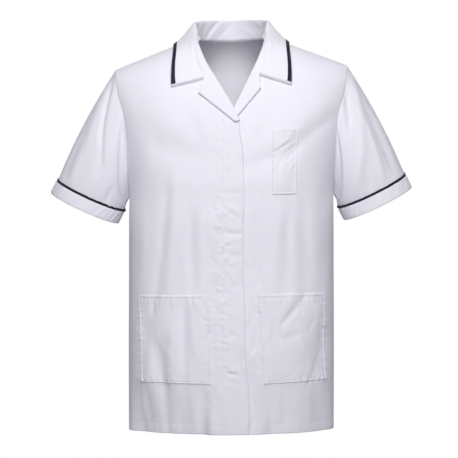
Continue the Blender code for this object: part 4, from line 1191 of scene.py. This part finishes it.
def stitch_tree():
    """Geometry nodes that lay short stitches end to end along each line of the object."""
    name = "stitch run"
    if name in bpy.data.node_groups:
        return bpy.data.node_groups[name]
    tree = bpy.data.node_groups.new(name, "GeometryNodeTree")
    face = tree.interface
    face.new_socket("Geometry", in_out="INPUT", socket_type="NodeSocketGeometry")
    for label, value in (("Pitch", 0.003), ("Stitch", 0.0022), ("Thread", 0.0002)):
        face.new_socket(label, in_out="INPUT", socket_type="NodeSocketFloat").default_value = value
    face.new_socket("Material", in_out="INPUT", socket_type="NodeSocketMaterial")
    face.new_socket("Geometry", in_out="OUTPUT", socket_type="NodeSocketGeometry")
    nodes, links = tree.nodes, tree.links
    given, put = nodes.new("NodeGroupInput"), nodes.new("NodeGroupOutput")
    curve = nodes.new("GeometryNodeMeshToCurve")
    links.new(given.outputs["Geometry"], curve.inputs["Mesh"])
    even = nodes.new("GeometryNodeResampleCurve")
    even.mode = "LENGTH"
    links.new(curve.outputs["Curve"], even.inputs["Curve"])
    links.new(given.outputs["Pitch"], even.inputs["Length"])
    stitch = nodes.new("GeometryNodeMeshCylinder")
    stitch.inputs["Vertices"].default_value = 6
    links.new(given.outputs["Thread"], stitch.inputs["Radius"])
    links.new(given.outputs["Stitch"], stitch.inputs["Depth"])
    tangent = nodes.new("GeometryNodeInputTangent")
    align = nodes.new("FunctionNodeAlignRotationToVector")
    align.axis = "Z"
    links.new(tangent.outputs["Tangent"], align.inputs["Vector"])
    copies = nodes.new("GeometryNodeInstanceOnPoints")
    links.new(even.outputs["Curve"], copies.inputs["Points"])
    links.new(stitch.outputs["Mesh"], copies.inputs["Instance"])
    links.new(align.outputs["Rotation"], copies.inputs["Rotation"])
    real = nodes.new("GeometryNodeRealizeInstances")
    links.new(copies.outputs["Instances"], real.inputs["Geometry"])
    paint = nodes.new("GeometryNodeSetMaterial")
    links.new(real.outputs["Geometry"], paint.inputs["Geometry"])
    links.new(given.outputs["Material"], paint.inputs["Material"])
    links.new(paint.outputs["Geometry"], put.inputs["Geometry"])
    return tree


def sewn_lines(name, lines):
    """Stitches along lines of points, as one plain mesh."""
    vertices, edges = [], []
    for line in lines:
        first = len(vertices)
        vertices.extend(hang(line).tolist())
        edges.extend((first + i, first + i + 1) for i in range(len(line) - 1))
    mesh = bpy.data.meshes.new(name + "_run")
    mesh.from_pydata(vertices, edges, [])
    run = bpy.data.objects.new(name + "_run", mesh)
    bpy.context.scene.collection.objects.link(run)
    nodes = run.modifiers.new("Stitches", "NODES")
    nodes.node_group = stitch_tree()
    size = sizes()
    values = {"Pitch": size.stitch_pitch, "Stitch": size.stitch_length, "Thread": size.thread_radius,
              "Material": thread_material()}
    for item in nodes.node_group.interface.items_tree:
        if item.in_out == "INPUT" and item.name in values:
            nodes[item.identifier] = values[item.name]
    graph = bpy.context.evaluated_depsgraph_get()
    done = bpy.data.meshes.new_from_object(run.evaluated_get(graph))
    done.name = name
    piece = bpy.data.objects.new(name, done)
    bpy.context.scene.collection.objects.link(piece)
    bpy.data.objects.remove(run, do_unlink=True)
    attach(piece, "root")


class TunicSizes(bpy.types.PropertyGroup):
    """Sizes of the cloth and the sewing."""
    cloth: FloatProperty(name="Cloth", description="Thickness of the cloth", default=0.0008, unit="LENGTH")
    stitch_pitch: FloatProperty(name="Stitch pitch", description="From one stitch to the next", default=0.003,
                                unit="LENGTH")
    stitch_length: FloatProperty(name="Stitch", description="Length of a stitch", default=0.0022,
                                 unit="LENGTH")
    thread_radius: FloatProperty(name="Thread", description="Radius of the thread", default=0.0002,
                                 unit="LENGTH")


class TunicColours(bpy.types.PropertyGroup):
    """Colours of the cloth, the trim and the stage."""
    cloth_light: FloatVectorProperty(name="Cloth", description="The cloth's main colour", subtype="COLOR",
                                     default=(0.845, 0.838, 0.90))
    cloth_dark: FloatVectorProperty(name="Cloth shade", description="The cloth's darker shade",
                                    subtype="COLOR",
                                    default=(0.785, 0.777, 0.848))
    trim_light: FloatVectorProperty(name="Trim", description="The braid's main colour", subtype="COLOR",
                                    default=(0.016, 0.018, 0.040))
    trim_dark: FloatVectorProperty(name="Trim shade", description="The braid's darker shade", subtype="COLOR",
                                   default=(0.008, 0.009, 0.022))
    floor: FloatVectorProperty(name="Floor", description="Colour of the floor", subtype="COLOR",
                               default=(0.86, 0.86, 0.87))


class TUNIC_OT_panels(bpy.types.Operator):
    """Back and front panels, from shoulder seam to hem"""
    bl_idname = "tunic.panels"
    bl_label = "Body panels"

    def execute(self, context):
        white, wall = white_cloth(), sizes().cloth
        points = back_points()
        back = sheet_mesh("back_panel", points, white, wall)
        dress(back, "back")
        for side, label in ((-1, "right"), (1, "left")):
            points = front_points(side)
            front = sheet_mesh(label + "_front_panel", points, white, wall, turn_out=side < 0)
            dress(front, label + "_front")
        return {"FINISHED"}


class TUNIC_OT_lapels(bpy.types.Operator):
    """Lapels, turned over the fronts' roll lines"""
    bl_idname = "tunic.lapels"
    bl_label = "Lapels"

    def execute(self, context):
        for side, label in ((-1, "right"), (1, "left")):
            points = lapel_points(side)
            wall = 1.2*sizes().cloth
            lapel = sheet_mesh(label + "_lapel_cloth", points, white_cloth(), wall, turn_out=side > 0)
            dress(lapel, label + "_lapel")
        return {"FINISHED"}


class TUNIC_OT_collar(bpy.types.Operator):
    """Collar with its stand and fall, and the braid along its edge"""
    bl_idname = "tunic.collar"
    bl_label = "Collar and braid"

    def execute(self, context):
        along, across = np.linspace(-1, 1, COLLAR_ROWS), np.linspace(0, 1, COLLAR_COLUMNS)
        points = close_collar(collar_surface(along, across))
        collar = sheet_mesh("collar_cloth", points, white_cloth(), 1.5*sizes().cloth)
        dress(collar, "collar")
        band = np.linspace(1 - (STRIPE_INSET + STRIPE_WIDTH)/FALL_LENGTH, 1 - STRIPE_INSET/FALL_LENGTH, 7)
        lift = 0.75*sizes().cloth + 0.0002 + 0.5*STRIPE_THICK
        points = collar_surface(np.linspace(-0.998, 0.998, COLLAR_ROWS), band, lift)
        stripe = sheet_mesh("collar_braid", points, navy_cloth(), STRIPE_THICK)
        dress(stripe, "collar_stripe")
        return {"FINISHED"}


class TUNIC_OT_sleeves(bpy.types.Operator):
    """Sleeves with turned cuffs and piping"""
    bl_idname = "tunic.sleeves"
    bl_label = "Sleeves"

    def execute(self, context):
        white, navy, wall = white_cloth(), navy_cloth(), sizes().cloth
        for side, label in ((-1, "right"), (1, "left")):
            points = sleeve_points(side)
            sleeve = sheet_mesh(label + "_sleeve_cloth", points, white, wall, tube=True, turn_out=side < 0)
            dress(sleeve, label + "_sleeve")
            points = cuff_points(side)
            cuff = sheet_mesh(label + "_cuff_cloth", points, white, 1.5*wall, tube=True, turn_out=side < 0)
            dress(cuff, label + "_cuff")
            points = piping_points(side)
            piping = sheet_mesh(label + "_piping", points, navy, PIPING_THICK, tube=True, turn_out=side < 0)
            dress(piping, label + "_cuff_piping")
        return {"FINISHED"}


class TUNIC_OT_pockets(bpy.types.Operator):
    """Two hip pockets and a pen pocket, patches on the fronts"""
    bl_idname = "tunic.pockets"
    bl_label = "Pockets"

    def execute(self, context):
        for key, (name, corners) in enumerate(HIP_POCKETS.items()):
            side = -1 if name.startswith("right") else 1
            points = pocket_points(corners, side, 120, 100, HIP_HEM, HIP_SEED + key)
            pocket = sheet_mesh(name + "_cloth", points, white_cloth(), sizes().cloth, turn_out=side < 0)
            dress(pocket, name)
        points = pocket_points(PEN_POCKET, 1, 90, 44, PEN_HEM, PEN_SEED)
        pocket = sheet_mesh("pen_pocket_cloth", points, white_cloth(), sizes().cloth)
        dress(pocket, "pen_pocket")
        return {"FINISHED"}


def pocket_lines(corners, side, hem, seed, inset):
    """Stitch lines of a pocket: down one side, along the foot, up the other, and across the hem."""
    width, depth = abs(corners[1][0] - corners[0][0]), abs(corners[3][1] - corners[0][1])
    a, b = inset/width, inset/depth
    around = ((0.0, a), (1 - b, a), (1 - b, 1 - a), (0.0, 1 - a))
    across = ((hem/depth, a), (hem/depth, 1 - a))
    lines = []
    for stops in (around, across):
        places = np.concatenate([np.linspace(stop, after, 90) for stop, after in zip(stops, stops[1:])])
        over = 0.5*sizes().cloth + STITCH_CLEAR
        lines.append(pocket_at(corners, side, places[:, 0], places[:, 1], hem, seed, over))
    return lines


class TUNIC_OT_sewing(bpy.types.Operator):
    """Rows of stitches at the hem, fly, pockets and cuffs"""
    bl_idname = "tunic.sewing"
    bl_label = "Sewing"

    def execute(self, context):
        over = 0.5*sizes().cloth + STITCH_CLEAR
        lines = []
        for key, (name, corners) in enumerate(HIP_POCKETS.items()):
            side = -1 if name.startswith("right") else 1
            lines += pocket_lines(corners, side, HIP_HEM, HIP_SEED + key, EDGE_STITCH)
        lines += pocket_lines(PEN_POCKET, 1, PEN_HEM, PEN_SEED, EDGE_STITCH)
        sewn_lines("pocket_sewing", lines)
        hem = -BACK_LENGTH + BODY_HEM
        half = 0.985*float(read(SECTIONS, hem, "half_width"))
        fly = float(read(FLY_EDGE, hem))
        lines = [
            on_body(np.linspace(-half, fly - 0.002, 300), hem, "front", over, -1),
            on_body(np.linspace(fly + 0.002, half, 300), hem, "front", over, 1),
            on_body(np.linspace(-half, half, 400), hem, "back", over),
        ]
        z = np.linspace(FLY_STITCH_TOP + FLY_ABOVE, FLY_STITCH_END, 300)
        lines.append(on_body(np.full_like(z, FLY_STITCH_X), z, "front", over, -1))
        sewn_lines("body_sewing", lines)
        proud = CUFF_PROUD + 0.75*sizes().cloth + STITCH_CLEAR
        sewn_lines("cuff_sewing", [cuff_ring(side, CUFF_BAND - CUFF_STITCH, proud) for side in (-1, 1)])
        return {"FINISHED"}


class TUNIC_OT_stage(bpy.types.Operator):
    """Pale floor, soft lights and the camera"""
    bl_idname = "tunic.stage"
    bl_label = "Stage"

    def execute(self, context):
        make_floor()
        make_lights()
        make_camera()
        return {"FINISHED"}


FLOOR_HEIGHT = -1.45
FLOOR_RADIUS = 3.0
CAMERA_DISTANCE = 3.2
CAMERA_HEIGHT = -0.366
CAMERA_SIDE = -0.0044
FRAME_WIDTH = 0.8702
SENSOR = 36.0
CHEST, SKIRT = (0, 0, -0.25), (0, 0, -0.6)
SKY_HEIGHTS = (-0.35, 0.55)
SKY_BELOW, SKY_ABOVE = (0.125, 0.125, 0.142, 1), (0.265, 0.265, 0.290, 1)
BACKDROP = (1, 1, 1, 1)


def make_floor():
    """A round pale floor well below the hem."""
    mesh = bpy.data.meshes.new("floor")
    shape = bmesh.new()
    bmesh.ops.create_circle(shape, cap_ends=True, radius=FLOOR_RADIUS, segments=96)
    for vertex in shape.verts:
        vertex.co.z = FLOOR_HEIGHT
    shape.to_mesh(mesh)
    shape.free()
    material, _, shader = new_material("floor")
    shader.inputs["Base Color"].default_value = (*colours().floor, 1)
    shader.inputs["Roughness"].default_value = 0.9
    mesh.materials.append(material)
    floor = bpy.data.objects.new("floor", mesh)
    bpy.context.scene.collection.objects.link(floor)


def soft_light(name, place, target, size, power, spread=180):
    """A square soft light aimed at a point."""
    light = bpy.data.lights.new(name, "AREA")
    light.shape = "RECTANGLE"
    light.size, light.size_y = size
    light.energy = power
    light.spread = math.radians(spread)
    thing = bpy.data.objects.new(name, light)
    thing.location = place
    thing.rotation_euler = (Vector(target) - Vector(place)).to_track_quat("-Z", "Y").to_euler()
    bpy.context.scene.collection.objects.link(thing)


def make_lights():
    """A soft key above the camera, two weak fills and the surround."""
    soft_light("key", (0.02, -1.75, 1.20), CHEST, (0.9, 0.8), 3.6, 60)
    soft_light("front_fill", (0.0, -3.0, 0.55), SKIRT, (1.4, 1.0), 28)
    soft_light("back_fill", (0.2, 2.8, 1.2), CHEST, (1.6, 1.6), 12)
    make_surround()


def make_surround():
    """White where the camera sees it, and elsewhere grey light that grows from below to above."""
    world = bpy.data.worlds.new("surround")
    bpy.context.scene.world = world
    world.use_nodes = True
    tree = world.node_tree
    place = tree.nodes.new("ShaderNodeTexCoord")
    axes = add_node(tree, "ShaderNodeSeparateXYZ", {"Vector": place.outputs["Generated"]})
    low, high = SKY_HEIGHTS
    height = add_node(tree, "ShaderNodeMapRange", {"Value": axes.outputs["Z"], "From Min": low,
                                                   "From Max": high})
    sky = colour_mix(tree, height.outputs["Result"], SKY_BELOW, SKY_ABOVE)
    path = tree.nodes.new("ShaderNodeLightPath")
    seen = colour_mix(tree, path.outputs["Is Camera Ray"], sky, BACKDROP)
    tree.links.new(seen, tree.nodes["Background"].inputs["Color"])
    scene = bpy.context.scene
    scene.view_settings.view_transform = "Standard"
    scene.view_settings.look = "None"


def make_camera():
    """The photograph's viewpoint: level with the middle of the garment."""
    camera = bpy.data.cameras.new("camera")
    camera.sensor_width = SENSOR
    camera.lens = SENSOR*CAMERA_DISTANCE/FRAME_WIDTH
    thing = bpy.data.objects.new("camera", camera)
    thing.location = (CAMERA_SIDE, -CAMERA_DISTANCE, CAMERA_HEIGHT)
    thing.rotation_euler = (math.pi/2, 0, 0)
    bpy.context.scene.collection.objects.link(thing)
    bpy.context.scene.camera = thing


class TUNIC_PT_panel(bpy.types.Panel):
    """Sidebar panel with the tunic's pieces"""
    bl_label = "Medical tunic"
    bl_idname = "TUNIC_PT_panel"
    bl_space_type = "VIEW_3D"
    bl_region_type = "UI"
    bl_category = "Tunic"

    def draw(self, context):
        for operator in OPERATORS:
            self.layout.operator(operator.bl_idname)
        for group in (context.scene.tunic_sizes, context.scene.tunic_colours):
            for name in group.__annotations__:
                self.layout.prop(group, name)


OPERATORS = (TUNIC_OT_stage, TUNIC_OT_panels, TUNIC_OT_lapels, TUNIC_OT_collar, TUNIC_OT_sleeves,
             TUNIC_OT_pockets, TUNIC_OT_sewing)
CLASSES = (TunicSizes, TunicColours, *OPERATORS, TUNIC_PT_panel)


def register():
    """Adds the tunic's classes and settings."""
    for item in CLASSES:
        bpy.utils.register_class(item)
    bpy.types.Scene.tunic_sizes = PointerProperty(type=TunicSizes)
    bpy.types.Scene.tunic_colours = PointerProperty(type=TunicColours)


def unregister():
    """Removes the tunic's classes and settings."""
    del bpy.types.Scene.tunic_sizes
    del bpy.types.Scene.tunic_colours
    for item in reversed(CLASSES):
        bpy.utils.unregister_class(item)


def main():
    """Builds the stage and every piece."""
    register()
    bpy.ops.tunic.stage()
    bpy.ops.tunic.panels()
    bpy.ops.tunic.lapels()
    bpy.ops.tunic.collar()
    bpy.ops.tunic.sleeves()
    bpy.ops.tunic.pockets()
    bpy.ops.tunic.sewing()


if __name__ == "__main__":
    main()
